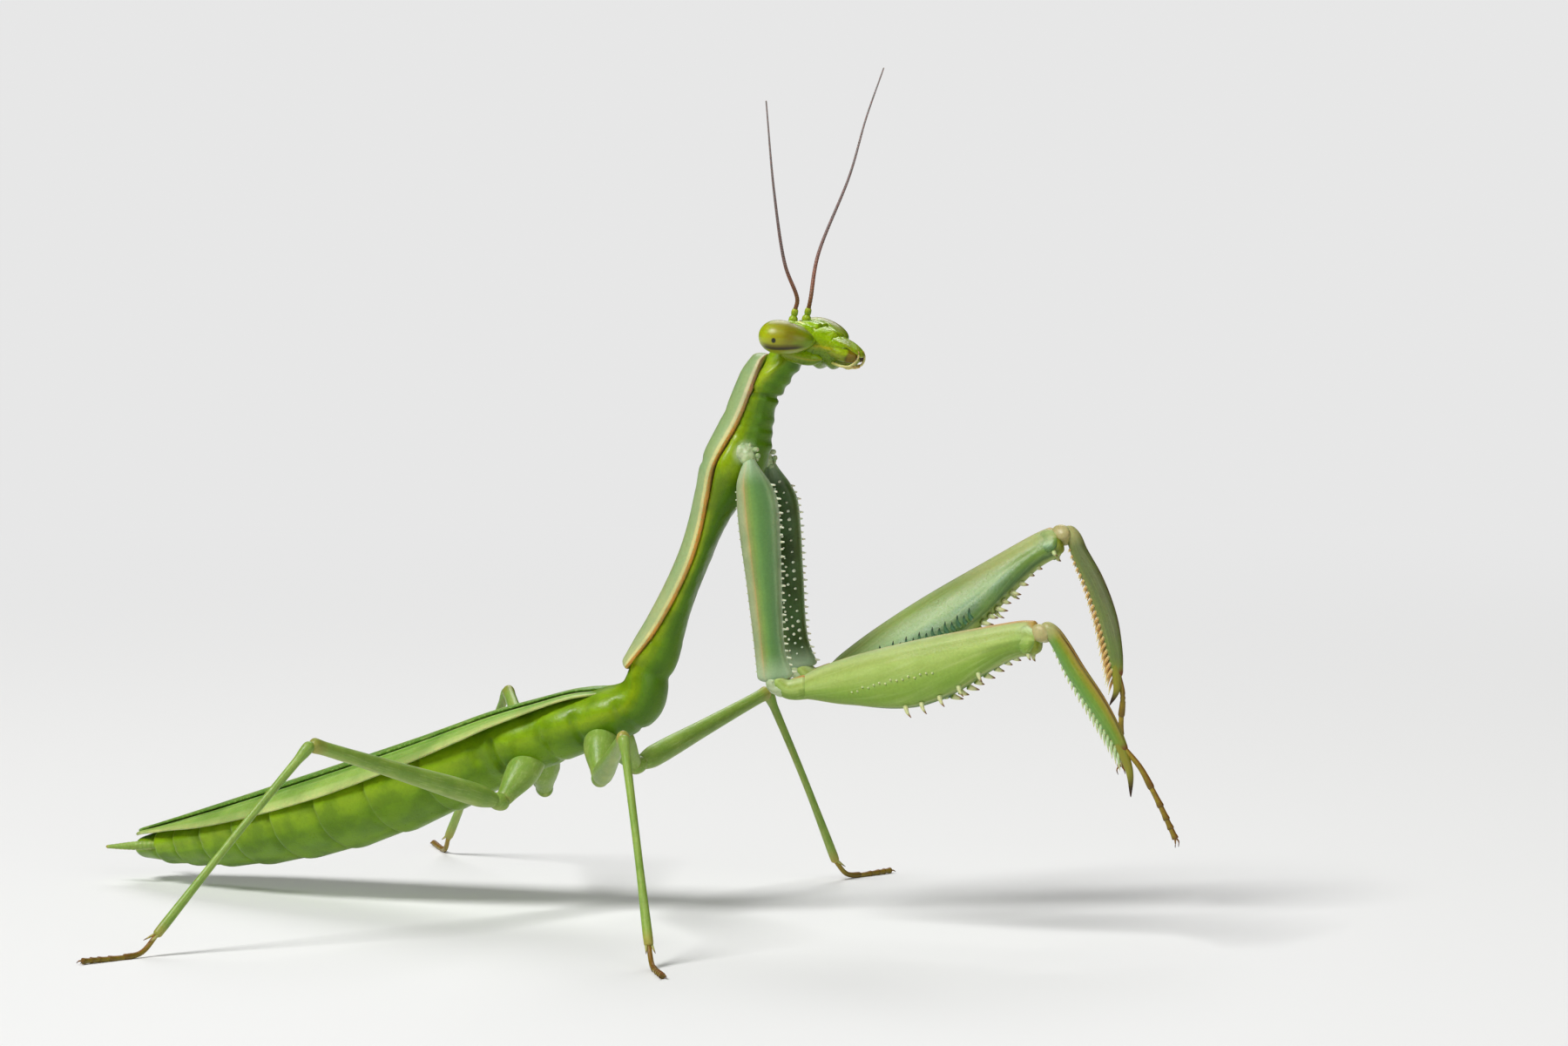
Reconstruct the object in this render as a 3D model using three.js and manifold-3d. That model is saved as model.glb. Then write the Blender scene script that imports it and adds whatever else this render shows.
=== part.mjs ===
// A still, life-size praying mantis: an adult female with the prothorax raised and the two raptorial
// forelegs reaching forward. Millimetres, +Z up; it faces +X, with its left side towards +Y, and its
// four walking feet stand at Z = 0. The shapes are worked out in a body frame whose plane Y = 0 runs
// through the prothorax, and the finished group is moved so that the middle of its base is the origin.
import * as THREE from "three";
import { mergeVertices } from "three/addons/utils/BufferGeometryUtils.js";
import Module from "manifold-3d";

const wasm = await Module();
wasm.setup();
const { Manifold, Mesh } = wasm;

// ---- Driving dimensions ----
const GAP = 0.1; // clear space between neighbouring pieces
const BASE_CENTRE = [-2.068, 1.341]; // middle of the animal's extent over the ground, in the body frame
const SPUR = 0.14; // radius of a spine at its root

const HEAD = { vertex: [7.85, 0.28, 34.2], yaw: -12, pitch: 13, height: 5.1, capsule: 4.08 };
const EYE = {
  down: 1.22, out: 2.42, front: -0.08, long: 1.78, blunt: 1.45, wide: 1.2, deep: 0.95, splay: 0.16, tilt: 0.11,
};
const ANTENNA = { down: 0.8, out: 0.84, front: 0.58, scape: 0.5, thick: 0.5 };

// Side edges of the pronotum in the plane Y = 0, front to back, and the trunk and abdomen behind it.
const PRONOTUM_LINE = [
  [6.9, 0, 32.8],
  [5.55, 0, 29.2],
  [4.2, 0, 26.5],
  [3.72, 0, 24.7],
  [2.6, 0, 20.9],
  [0.5, 0, 16.9],
  [-1.35, 0, 14.5],
];
const TRUNK_LINE = [
  [0.75, 0, 14.2],
  [-1.4, 0.1, 12.5],
  [-4.8, 0.45, 11.2],
  [-8.9, 1.1, 9.85],
];
const ABDOMEN_LINE = [
  [-9.0, 1.12, 9.82],
  [-13.5, 2.05, 8.05],
  [-19, 3.5, 6.05],
  [-25.5, 5.6, 4.1],
  [-31.5, 7.7, 2.65],
  [-35.2, 9.0, 1.95],
];
const WING_LINE = [
  [-2.4, 0.25, 13.85],
  [-5.5, 0.6, 12.95],
  [-9.5, 1.2, 11.78],
  [-14, 2.15, 10.1],
  [-20, 3.8, 8.0],
  [-26, 5.75, 5.95],
  [-31.5, 7.6, 4.1],
  [-34.9, 8.8, 3.0],
];
const WING_THICK = 0.5;

// Forelegs: hip, end of the coxa, root of the femur, knee, wrist, tips of the claw and of the foot,
// the way in which the spined edge of the femur faces, and how far the tibia's teeth stand off it and
// how much more than a plain curve the tibia bows.
const FORELEGS = {
  right: {
    hip: [6.35, -1.75, 26.9],
    elbow: [8.12, -3.1, 14.2],
    root: [9.54, -3.0, 13.85],
    knee: [24.3, -6.0, 17.5],
    wrist: [29.2, -6.2, 11.0],
    claw: [29.55, -6.35, 8.62],
    foot: [32.2, -6.8, 6.4],
    belly: [0.05, -0.2, -1],
    stand: 0.55,
    bow: -0.12,
  },
  left: {
    hip: [6.55, 1.75, 26.6],
    elbow: [7.85, 3.2, 14.4],
    root: [9.55, 3.15, 13.8],
    knee: [22.75, 6.1, 22.15],
    wrist: [26.23, 6.0, 14.0],
    claw: [25.8, 5.6, 12.5],
    foot: [26.35, 6.1, 8.9],
    belly: [0.3, -0.62, -0.8],
    stand: 0.76,
    bow: 0.22,
  },
};
const FEMUR_SPINES = {
  outer: [0.44, 0.505, 0.58, 0.66, 0.745], // shares of the femur's length
  inner: [0.3, 0.37, 0.44, 0.51, 0.58, 0.65, 0.72],
};
const TIBIA_TEETH = 12;

// Walking legs: hip, end of the coxa, knee, ankle and tip of the foot.
const WALKING_LEGS = {
  mid_right: {
    hip: [-2.7, -1.5, 10.0],
    elbow: [-2.2, -3.3, 8.4],
    knee: [2.5, -14.4, 12.0],
    ankle: [5.4, -19.3, 1.1],
    foot: [7.4, -23.6, 0.2],
  },
  mid_left: {
    hip: [-2.6, 1.8, 10.0],
    elbow: [-2.1, 3.6, 8.4],
    knee: [2.9, 14.3, 11.8],
    ankle: [6.0, 19.2, 1.1],
    foot: [8.4, 23.3, 0.2],
  },
  hind_right: {
    hip: [-7.6, -0.9, 8.4],
    elbow: [-8.3, -2.8, 6.8],
    knee: [-15.4, -15.2, 11.2],
    ankle: [-22.2, -22.3, 1.1],
    foot: [-24.9, -26.5, 0.2],
  },
  hind_left: {
    hip: [-7.4, 2.5, 8.4],
    elbow: [-7.9, 4.4, 6.8],
    knee: [-14.2, 17.2, 11.2],
    ankle: [-20.6, 24.8, 1.1],
    foot: [-23.0, 29.2, 0.2],
  },
};

const skin = (color, roughness) => new THREE.MeshStandardMaterial({ color, roughness, metalness: 0 });
const LEAF_GREEN = skin(0x86a81e, 0.45);
const PALE_GREEN = skin(0x9dbf7c, 0.5);
const EYE_GREEN = skin(0xa3a52c, 0.2);
const HORN_BROWN = skin(0x9a6a3c, 0.5);
const WING_GREEN = skin(0x7da63a, 0.45);

// ---- Tools ----
const UP = new THREE.Vector3(0, 0, 1);
const AHEAD = new THREE.Vector3(1, 0, 0);
const DORSAL = new THREE.Vector3(-1, 0, 0.45); // away from the pronotum's back
const point = (numbers) => new THREE.Vector3(...numbers);
const curve = (points) => new THREE.CatmullRomCurve3(points.map((p) => (p.isVector3 ? p : point(p))));
const between = (from, to, share) => from.clone().lerp(to, share);

// A smooth value along a piece, through stations of [place from 0 to 1, value].
function along(...stations) {
  const last = stations.length - 1;
  const slope = (i) => {
    const [t0, v0] = stations[Math.max(i - 1, 0)];
    const [t1, v1] = stations[Math.min(i + 1, last)];
    return (v1 - v0) / (t1 - t0);
  };
  return (t) => {
    const found = stations.findIndex(([place]) => place >= t);
    const i = found < 0 ? last : Math.max(found, 1);
    const [t0, v0] = stations[i - 1];
    const [t1, v1] = stations[i];
    const s = THREE.MathUtils.clamp((t - t0) / (t1 - t0), 0, 1);
    const ease = s * s * (3 - 2 * s);
    const leave = s * (1 - s) ** 2;
    const arrive = s * s * (s - 1);
    return v0 + (v1 - v0) * ease + (t1 - t0) * (slope(i - 1) * leave + slope(i) * arrive);
  };
}
const even = (value) => () => value;

// Cross-section of a piece: half width, and height above and below its line, along its length.
const oval = (half, top, bottom = top, grow = 0) => (t, angle) => {
  const height = Math.sin(angle) > 0 ? top(t) : bottom(t);
  return [(half(t) + grow) * Math.cos(angle), (height + grow) * Math.sin(angle)];
};

// A closed body along a curve: the rings of a capped cylinder are moved to stations on the curve.
function loft(path, section, { sides = 10, rings = 8, up = UP } = {}) {
  const geometry = new THREE.CylinderGeometry(1, 1, 1, sides, rings);
  const at = geometry.attributes.position;
  for (let i = 0; i < at.count; i++) {
    const t = at.getY(i) + 0.5;
    const reach = Math.hypot(at.getX(i), at.getZ(i)); // 0 in the middle of an end, otherwise 1
    const [across, above] = section(t, Math.atan2(at.getZ(i), at.getX(i)));
    const tangent = path.getTangentAt(t);
    const side = tangent.clone().cross(up).normalize();
    const top = side.clone().cross(tangent).normalize();
    const place = path.getPointAt(t).addScaledVector(side, across * reach);
    place.addScaledVector(top, above * reach);
    at.setXYZ(i, place.x, place.y, place.z);
  }
  return solid(geometry);
}
const limb = (from, to, section, more) => loft(new THREE.LineCurve3(from, to), section, more);

function solid(geometry) {
  geometry.deleteAttribute("normal");
  geometry.deleteAttribute("uv");
  const merged = mergeVertices(geometry, 1e-5);
  const vertProperties = new Float32Array(merged.attributes.position.array);
  const triVerts = new Uint32Array(merged.index.array);
  return new Manifold(new Mesh({ numProp: 3, vertProperties, triVerts }));
}

function ball(centre, radius, sides = 8) {
  const geometry = new THREE.SphereGeometry(radius, sides, Math.round(sides * 0.7));
  return solid(geometry.translate(...centre.toArray()));
}

// A spine: a three-sided point from its root, which is sunk into what it grows from, to its tip.
function spine(root, tip, radius = SPUR) {
  const way = tip.clone().sub(root);
  const length = way.length();
  const cone = new THREE.ConeGeometry(radius, length, 3).translate(0, length / 2, 0);
  const turn = new THREE.Quaternion().setFromUnitVectors(new THREE.Vector3(0, 1, 0), way.normalize());
  return solid(cone.applyQuaternion(turn).translate(...root.toArray()));
}
const joined = (first, others) => others.reduce((whole, more) => whole.add(more), first);
const cutBy = (first, others) => others.reduce((whole, more) => whole.subtract(more), first);

const mantis = new THREE.Group();
mantis.name = "mantis";

// Adds a piece, with its own origin at the joint that it hangs from.
function add(name, body, material, joint) {
  const { vertProperties, triVerts } = body.getMesh();
  const geometry = new THREE.BufferGeometry();
  geometry.setAttribute("position", new THREE.BufferAttribute(vertProperties, 3));
  geometry.setIndex(new THREE.BufferAttribute(triVerts, 1));
  geometry.translate(-joint.x, -joint.y, -joint.z);
  const mesh = new THREE.Mesh(geometry, material);
  mesh.name = name;
  mesh.position.copy(joint);
  mantis.add(mesh);
}

// ---- Head ----
// Its own axes: down the face from the vertex, out to the left, and forward out of the face.
const headTurn = new THREE.Matrix4()
  .makeRotationZ(THREE.MathUtils.degToRad(HEAD.yaw))
  .multiply(new THREE.Matrix4().makeRotationY(THREE.MathUtils.degToRad(HEAD.pitch)));
const onHead = (down, left, front) =>
  point([down, left, front]).applyMatrix4(headTurn).add(point(HEAD.vertex));
const faceWay = onHead(0, 0, 1).sub(point(HEAD.vertex));

function headCapsule(grow = 0) {
  const half = along([0, 1.45], [0.07, 1.85], [0.3, 2.05], [0.55, 1.72], [0.8, 1.3], [1, 1.05]);
  const front = along([0, 0.2], [0.12, 0.55], [0.36, 0.88], [0.6, 0.9], [0.8, 0.68], [1, 0.34]);
  const back = along([0, 0.3], [0.12, 0.95], [0.36, 1.6], [0.65, 1.6], [1, 1.3]);
  const section = oval(half, front, back, grow);
  return limb(onHead(-grow, 0, 0), onHead(HEAD.capsule, 0, 0), section, { sides: 12, rings: 8, up: faceWay });
}

// An egg: blunt at the vertex, narrow towards the mouth.
function eye(sign, grow = 0) {
  const geometry = new THREE.SphereGeometry(1, 14, 9).rotateZ(Math.PI / 2);
  const at = geometry.attributes.position;
  for (let i = 0; i < at.count; i++) {
    const narrow = 1 - 0.2 * at.getX(i);
    const across = at.getY(i) * (EYE.wide + grow) * narrow;
    const deep = at.getZ(i) * (EYE.deep + grow) * narrow;
    const length = at.getX(i) > 0 ? EYE.long : EYE.blunt;
    at.setXYZ(i, at.getX(i) * (length + grow), across, deep);
  }
  geometry.rotateY(-EYE.tilt).rotateZ(-sign * EYE.splay).applyMatrix4(headTurn);
  return solid(geometry.translate(...eyeCentre(sign).toArray()));
}
const eyeCentre = (sign) => onHead(EYE.down, sign * EYE.out, EYE.front);

// Upper lip, with the jaws behind it.
function mouth(grow = 0) {
  const half = along([0, 1.0], [0.5, 0.82], [1, 0.4]);
  const front = along([0, 0.3], [0.5, 0.16], [1, 0.04]);
  const back = along([0, 1.05], [0.5, 0.95], [1, 0.5]);
  const from = onHead(HEAD.capsule + GAP, 0, 0);
  return limb(from, onHead(HEAD.height, 0, 0), oval(half, front, back, grow), { rings: 4, up: faceWay });
}

// A feeler of the mouth, folded forward beside the jaws.
function palp(sign) {
  const bend = curve([
    onHead(3.85, sign * 1.0, -1.36),
    onHead(4.55, sign * 1.12, -1.1),
    onHead(5.0, sign * 0.95, -0.8),
    onHead(5.28, sign * 0.6, -0.3),
  ]);
  return loft(bend, oval(even(0.25), even(0.25)), { sides: 6, rings: 7, up: faceWay });
}

const antennaRoot = (sign) => onHead(ANTENNA.down, sign * ANTENNA.out, ANTENNA.front);
const scapeTop = (sign) => antennaRoot(sign).addScaledVector(faceWay, 0.3 + ANTENNA.scape);
function scape(sign) {
  const radius = along([0, 0.3], [0.5, 0.36], [1, 0.25]);
  return limb(antennaRoot(sign), scapeTop(sign), oval(radius, radius), { sides: 8, rings: 3, up: AHEAD });
}
const FEELERS = {
  right: [
    [8.53, -2.25, 38.0],
    [8.33, -3.9, 42.2],
    [8.22, -5.2, 47.3],
  ],
  left: [
    [9.3, 2.2, 38.4],
    [10.65, 4.3, 43.0],
    [11.35, 5.4, 46.3],
    [12.2, 6.2, 49.2],
  ],
};
function feeler(side, from) {
  const radius = even(ANTENNA.thick / 2);
  return loft(curve([from, ...FEELERS[side]]), oval(radius, radius), { sides: 6, rings: 12, up: AHEAD });
}

const eyeSockets = [eye(1, GAP), eye(-1, GAP)];
add("head", cutBy(headCapsule(), eyeSockets), LEAF_GREEN, point(HEAD.vertex));
add("mouth", mouth(), LEAF_GREEN, onHead(HEAD.capsule, 0, 0));
for (const [side, sign] of [["left", 1], ["right", -1]]) {
  add("eye_" + side, eye(sign), EYE_GREEN, eyeCentre(sign));
  add("palp_" + side, palp(sign), LEAF_GREEN, onHead(3.85, sign, -1.36));
  add("scape_" + side, scape(sign).subtract(headCapsule(GAP)), LEAF_GREEN, antennaRoot(sign));
  const from = scapeTop(sign).addScaledVector(faceWay, GAP);
  add("antenna_" + side, feeler(side, from), HORN_BROWN, from);
}

// ---- Prothorax: the pronotum is an arched shield, widest over the front hips ----
const pronotumLine = curve(PRONOTUM_LINE);
const SHIELD_EDGE = 0.16;
const shieldHalf = along(
  [0, 0.95], [0.04, 1.25], [0.2, 1.55], [0.35, 2.12], [0.43, 1.85], [0.52, 1.42], [0.8, 1.32], [1, 1.6],
);
const shieldArch = along(
  [0, 0.62], [0.08, 1.1], [0.3, 1.15], [0.42, 1.05], [0.7, 1.02], [0.9, 0.88], [1, 0.55],
);
const pronotum = () =>
  loft(pronotumLine, oval(shieldHalf, shieldArch, even(SHIELD_EDGE)), { sides: 12, rings: 16, up: DORSAL });

// The breast hangs under the shield: slim behind the head, deep where the front hips leave it.
const breastDepth = along(
  [0, 1.9], [0.12, 1.45], [0.19, 1.7], [0.25, 2.2], [0.32, 2.5], [0.38, 2.2], [0.46, 1.4],
  [0.54, 0.95], [0.63, 0.78], [0.74, 0.92], [0.83, 1.35], [0.91, 2.0], [1, 2.5],
);
function breast(grow = 0) {
  const top = SHIELD_EDGE + GAP - grow;
  const section = (t, angle) => {
    const drop = (breastDepth(t) + grow - top) * Math.max(-Math.sin(angle), 0);
    return [(shieldHalf(t) - 0.15 + grow) * Math.cos(angle), -top - drop];
  };
  return loft(pronotumLine, section, { sides: 12, rings: 16, up: DORSAL });
}

// The soft collar between the breast and the back of the head.
function neck() {
  const line = curve([[7.62, 0, 32.0], [8.0, 0.02, 32.6], [8.45, 0.05, 33.3]]);
  const half = along([0, 0.98], [0.5, 1.1], [1, 0.95]);
  const deep = along([0, 0.7], [0.5, 0.95], [1, 0.9]);
  const shieldRoom = loft(pronotumLine, oval(even(1.7), even(1.2), even(SHIELD_EDGE + GAP)), { up: DORSAL });
  const collar = loft(line, oval(half, deep), { sides: 12, rings: 4, up: DORSAL });
  return cutBy(collar, [headCapsule(GAP), breast(GAP), shieldRoom]);
}

// ---- Forelegs ----
const FEMUR_HALF = along([0, 0.3], [0.1, 0.62], [0.4, 0.95], [0.7, 0.75], [0.92, 0.64], [1, 0.55]);
const FEMUR_BACK = along(
  [0, 0.35], [0.05, 0.73], [0.11, 1.0], [0.24, 1.2], [0.5, 1.3], [0.76, 1.2], [0.93, 1.08], [1, 0.8],
);
const FEMUR_BELLY = along(
  [0, 0.35], [0.1, 0.95], [0.2, 1.6], [0.3, 2.13], [0.4, 2.5], [0.5, 2.6], [0.63, 2.25],
  [0.76, 1.52], [0.85, 1.05], [0.9, 0.93], [0.96, 1.0], [1, 0.8],
);
const KNEE = 0.6;
const TROCHANTER = 0.66;

function foreleg({ hip, elbow, root, knee, wrist, claw, foot, belly, stand, bow }) {
  const side = Math.sign(hip.y);
  const way = knee.clone().sub(root).normalize(); // along the femur
  const down = belly.clone().addScaledVector(way, -belly.dot(way)).normalize(); // to its spined edge
  const across = way.clone().cross(down).multiplyScalar(-side).normalize(); // to its inner face
  const shin = wrist.clone().sub(knee).normalize(); // along the tibia
  const inner = way.clone().negate().addScaledVector(shin, way.dot(shin)).normalize(); // to its teeth
  const kneeAt = knee.clone().addScaledVector(inner, -0.38).addScaledVector(shin, 0.12);
  const knuckleAt = between(elbow, root, 0.55).addScaledVector(UP, -0.35);

  function coxa(grow = 0) {
    const line = curve([hip, between(hip, elbow, 0.5).addScaledVector(AHEAD, 0.08), elbow]);
    const half = along([0, 0.4], [0.1, 0.62], [0.35, 0.72], [0.8, 0.6], [1, 0.5]);
    const front = along([0, 0.3], [0.1, 0.85], [0.2, 1.3], [0.35, 1.22], [0.55, 1.0], [0.85, 0.82], [1, 1.3]);
    const back = along([0, 0.35], [0.1, 0.95], [0.3, 1.16], [0.55, 1.08], [0.82, 0.98], [1, 0.95]);
    return loft(line, oval(half, front, back, grow), { rings: 9, up: AHEAD });
  }

  function femurBody() {
    const upward = down.clone().negate();
    return limb(root, knee, oval(FEMUR_HALF, FEMUR_BACK, FEMUR_BELLY), { sides: 10, rings: 12, up: upward });
  }
  function femurSpines() {
    const onEdge = (share, row, drop, aside, forward) => {
      const from = between(root, knee, share);
      from.addScaledVector(down, FEMUR_BELLY(share) - 0.3).addScaledVector(across, row * 0.25);
      const tip = from.clone().addScaledVector(down, 0.25 + drop).addScaledVector(way, forward);
      return spine(from, tip.addScaledVector(across, row * aside));
    };
    const outer = FEMUR_SPINES.outer.map((share) => onEdge(share, -1, 0.5, 0.12, 0.32));
    const inner = FEMUR_SPINES.inner.map((share, i) => {
      const length = i % 2 ? 0.8 : 0.5;
      return onEdge(share, 1, 0.3 * length, 0.75 * length, 0.45 * length);
    });
    return [...outer, ...inner];
  }

  // The tibia bows away from the femur and carries a comb of teeth that lengthen towards the claw.
  const bowed = (share, off) => between(knee, wrist, share).addScaledVector(inner, -off);
  const bends = [[0.14, 0.62], [0.35, 0.55 + bow], [0.6, 0.48 + bow], [0.82, 0.25 + bow / 2]];
  const tibiaLine = curve([kneeAt, ...bends.map(([share, off]) => bowed(share, off)), wrist]);
  function tibiaBody(grow = 0) {
    const half = along([0, 0.45], [0.1, 0.45], [0.5, 0.4], [1, 0.3]);
    const toothed = along([0, 0.4], [0.12, 0.4], [0.3, 0.5], [0.6, 0.54], [0.85, 0.42], [1, 0.27]);
    const back = along([0, 0.46], [0.12, 0.54], [0.4, 0.64], [0.65, 0.62], [0.85, 0.5], [1, 0.28]);
    return loft(tibiaLine, oval(half, toothed, back, grow), { sides: 8, rings: 8, up: inner });
  }
  function tibiaTeeth() {
    const lean = Math.sqrt(1 - stand ** 2);
    return Array.from({ length: TIBIA_TEETH }, (_, i) => {
      const place = i / (TIBIA_TEETH - 1);
      const length = 0.3 + 0.75 * place ** 1.6;
      const from = tibiaLine.getPointAt(0.17 + 0.78 * place).addScaledVector(inner, 0.3);
      const tip = from.clone().addScaledVector(inner, 0.1 + stand * length);
      return spine(from, tip.addScaledVector(shin, lean * length));
    });
  }
  function hook() {
    const middle = between(wrist, claw, 0.5).addScaledVector(inner, -0.12);
    const line = curve([between(wrist, knee, 0.06), middle, claw]);
    const wide = along([0, 0.3], [0.5, 0.26], [1, 0.08]);
    return loft(line, oval(wide, wide), { sides: 6, rings: 4, up: inner });
  }

  // The slim jointed foot starts beside the root of the claw.
  function tarsus() {
    const from = wrist.clone().addScaledVector(inner, -0.44).addScaledVector(shin, 0.05);
    from.addScaledVector(across, -0.12);
    const line = curve([from, between(from, foot, 0.5).addScaledVector(inner, -0.15), foot]);
    const slim = loft(line, oval(even(0.26), even(0.26)), { sides: 6, rings: 6, up: inner });
    return slim.subtract(tibiaBody(GAP));
  }

  const tibia = joined(tibiaBody(), [ball(kneeAt, KNEE), hook(), ...tibiaTeeth()]);
  const femur = cutBy(joined(femurBody(), femurSpines()), [
    ball(kneeAt, KNEE + GAP),
    tibiaBody(GAP),
    ball(knuckleAt, TROCHANTER + GAP),
    coxa(GAP),
  ]);
  return { coxa, knuckleAt, femur, tibia, tarsus: tarsus() };
}

const forelegs = Object.entries(FORELEGS).map(([side, joints]) => {
  const placed = Object.fromEntries(
    Object.entries(joints).map(([name, value]) => [name, Array.isArray(value) ? point(value) : value]),
  );
  return { side, joints: placed, ...foreleg(placed) };
});

add("pronotum", pronotum(), LEAF_GREEN, point(PRONOTUM_LINE[0]));
add("prothorax", cutBy(breast(), forelegs.map((leg) => leg.coxa(GAP))), LEAF_GREEN, point(PRONOTUM_LINE[0]));
add("neck", neck(), LEAF_GREEN, point([8, 0.02, 32.6]));
for (const { side, joints, coxa, knuckleAt, femur, tibia, tarsus } of forelegs) {
  const knuckle = ball(knuckleAt, TROCHANTER);
  add("fore_coxa_" + side, coxa().subtract(ball(knuckleAt, TROCHANTER + GAP)), PALE_GREEN, joints.hip);
  add("fore_trochanter_" + side, knuckle, PALE_GREEN, knuckleAt);
  add("fore_femur_" + side, femur, PALE_GREEN, joints.root);
  add("fore_tibia_" + side, tibia, PALE_GREEN, joints.knee);
  add("fore_tarsus_" + side, tarsus, HORN_BROWN, joints.wrist);
}

// ---- Walking legs ----
const ROUND_HIP = along([0, 0.85], [0.5, 0.8], [1, 0.6]);
const ROUND_FEMUR = along([0, 0.5], [0.12, 0.6], [0.5, 0.45], [1, 0.38]);
const ROUND_TIBIA = along([0, 0.34], [0.1, 0.32], [0.4, 0.27], [1, 0.3]);
const floor = solid(new THREE.BoxGeometry(200, 200, 10).translate(0, 0, -5));

function walkingLeg({ hip, elbow, knee, ankle, foot }) {
  const way = knee.clone().sub(elbow).normalize();
  const ahead = foot.clone().sub(ankle).setZ(0).normalize();
  const kneeAt = knee.clone().addScaledVector(way, 0.2);
  const round = (radius, grow = 0) => oval(radius, radius, radius, grow);
  const coxa = (grow = 0) => limb(hip, elbow, round(ROUND_HIP, grow), { sides: 8, rings: 3, up: AHEAD });
  const shankShape = { sides: 6, rings: 4, up: AHEAD };
  const shank = (grow = 0) => limb(kneeAt, ankle, round(ROUND_TIBIA, grow), shankShape);
  const root = elbow.clone().addScaledVector(way, 0.2);
  const femur = limb(root, knee, round(ROUND_FEMUR), { sides: 8, rings: 5 });

  // The foot bends from the ankle down to a sole that lies along the ground.
  const heel = ankle.clone().setZ(ankle.z - 0.12);
  const sole = ankle.clone().addScaledVector(ahead, 1.3).setZ(0.22);
  const line = curve([heel, between(heel, sole, 0.55).setZ(0.42), sole, foot]);
  const tarsus = loft(line, round(even(0.29)), { sides: 8, rings: 7 });
  return {
    coxa,
    femur: cutBy(femur, [coxa(GAP), ball(kneeAt, 0.42 + GAP), shank(GAP)]),
    tibia: shank().add(ball(kneeAt, 0.42)),
    tarsus: cutBy(tarsus, [floor, shank(GAP)]),
  };
}
const walkingLegs = Object.entries(WALKING_LEGS).map(([place, numbers]) => {
  const joints = Object.fromEntries(Object.entries(numbers).map(([name, value]) => [name, point(value)]));
  const [row, side] = place.split("_");
  return { row, side, joints, ...walkingLeg(joints) };
});
for (const { row, side, joints, coxa, femur, tibia, tarsus } of walkingLegs) {
  add(`${row}_coxa_${side}`, coxa(), LEAF_GREEN, joints.hip);
  add(`${row}_femur_${side}`, femur, LEAF_GREEN, joints.elbow);
  add(`${row}_tibia_${side}`, tibia, LEAF_GREEN, joints.knee);
  add(`${row}_tarsus_${side}`, tarsus, PALE_GREEN, joints.ankle);
}

// ---- Trunk and abdomen ----
// One stretch of a longer body, from one share of its length to another.
function stretch(line, [half, top, bottom], from, to, rings) {
  const place = (t) => from + (to - from) * t;
  const part = curve(Array.from({ length: 6 }, (_, i) => line.getPointAt(place(i / 5))));
  const within = (size) => (t) => size(place(t));
  return loft(part, oval(within(half), within(top), within(bottom)), { sides: 14, rings });
}
const trunkLine = curve(TRUNK_LINE);
const trunkSizes = [
  along([0, 1.35], [0.25, 1.95], [0.5, 2.25], [1, 2.45]),
  along([0, 1.0], [0.25, 1.3], [0.5, 1.55], [1, 1.7]),
  along([0, 1.5], [0.25, 1.7], [0.55, 1.85], [1, 2.1]),
];
const abdomenLine = curve(ABDOMEN_LINE);
const abdomenSizes = [
  along([0, 2.3], [0.15, 2.9], [0.4, 3.3], [0.65, 3.0], [0.85, 2.05], [1, 0.7]),
  along([0, 1.65], [0.2, 1.75], [0.45, 1.7], [0.7, 1.4], [0.9, 0.95], [1, 0.4]),
  along([0, 2.1], [0.2, 2.6], [0.45, 2.7], [0.7, 2.15], [0.9, 1.2], [1, 0.5]),
];
const breastRoom = loft(
  curve([...PRONOTUM_LINE.slice(-3), [-1.43, 0, 14.4]]),
  oval(even(2.0), even(1.1), even(2.75)),
  { rings: 6, up: DORSAL },
);
const hipRoom = (row) => walkingLegs.filter((leg) => leg.row === row).map((leg) => leg.coxa(GAP));
const mesothorax = stretch(trunkLine, trunkSizes, 0, 0.52, 5);
const metathorax = stretch(trunkLine, trunkSizes, 0.53, 1, 5);
add("mesothorax", cutBy(mesothorax, [...hipRoom("mid"), breastRoom]), LEAF_GREEN, point(TRUNK_LINE[0]));
const allHips = [...hipRoom("mid"), ...hipRoom("hind")];
add("metathorax", cutBy(metathorax, allHips), LEAF_GREEN, point(TRUNK_LINE[2]));
for (const [name, from, to] of [["front", 0.004, 0.34], ["middle", 0.344, 0.67], ["tip", 0.674, 1]]) {
  const part = stretch(abdomenLine, abdomenSizes, from, to, 5);
  add("abdomen_" + name, part, LEAF_GREEN, abdomenLine.getPointAt(from));
}

// A pair of short tail feelers beside the tip of the abdomen.
for (const [side, sign] of [["left", 1], ["right", -1]]) {
  const tail = abdomenLine.getTangentAt(0.95);
  const aside = tail.clone().cross(UP).normalize().multiplyScalar(sign);
  const root = abdomenLine.getPointAt(0.93).addScaledVector(aside, 1.62);
  const tip = root.clone().addScaledVector(tail, 2.6).addScaledVector(aside, 0.75).addScaledVector(UP, 0.3);
  const radius = along([0, 0.27], [0.5, 0.3], [1, 0.25]);
  add("cercus_" + side, limb(root, tip, oval(radius, radius), { sides: 6, rings: 3 }), PALE_GREEN, root);
}

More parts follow.
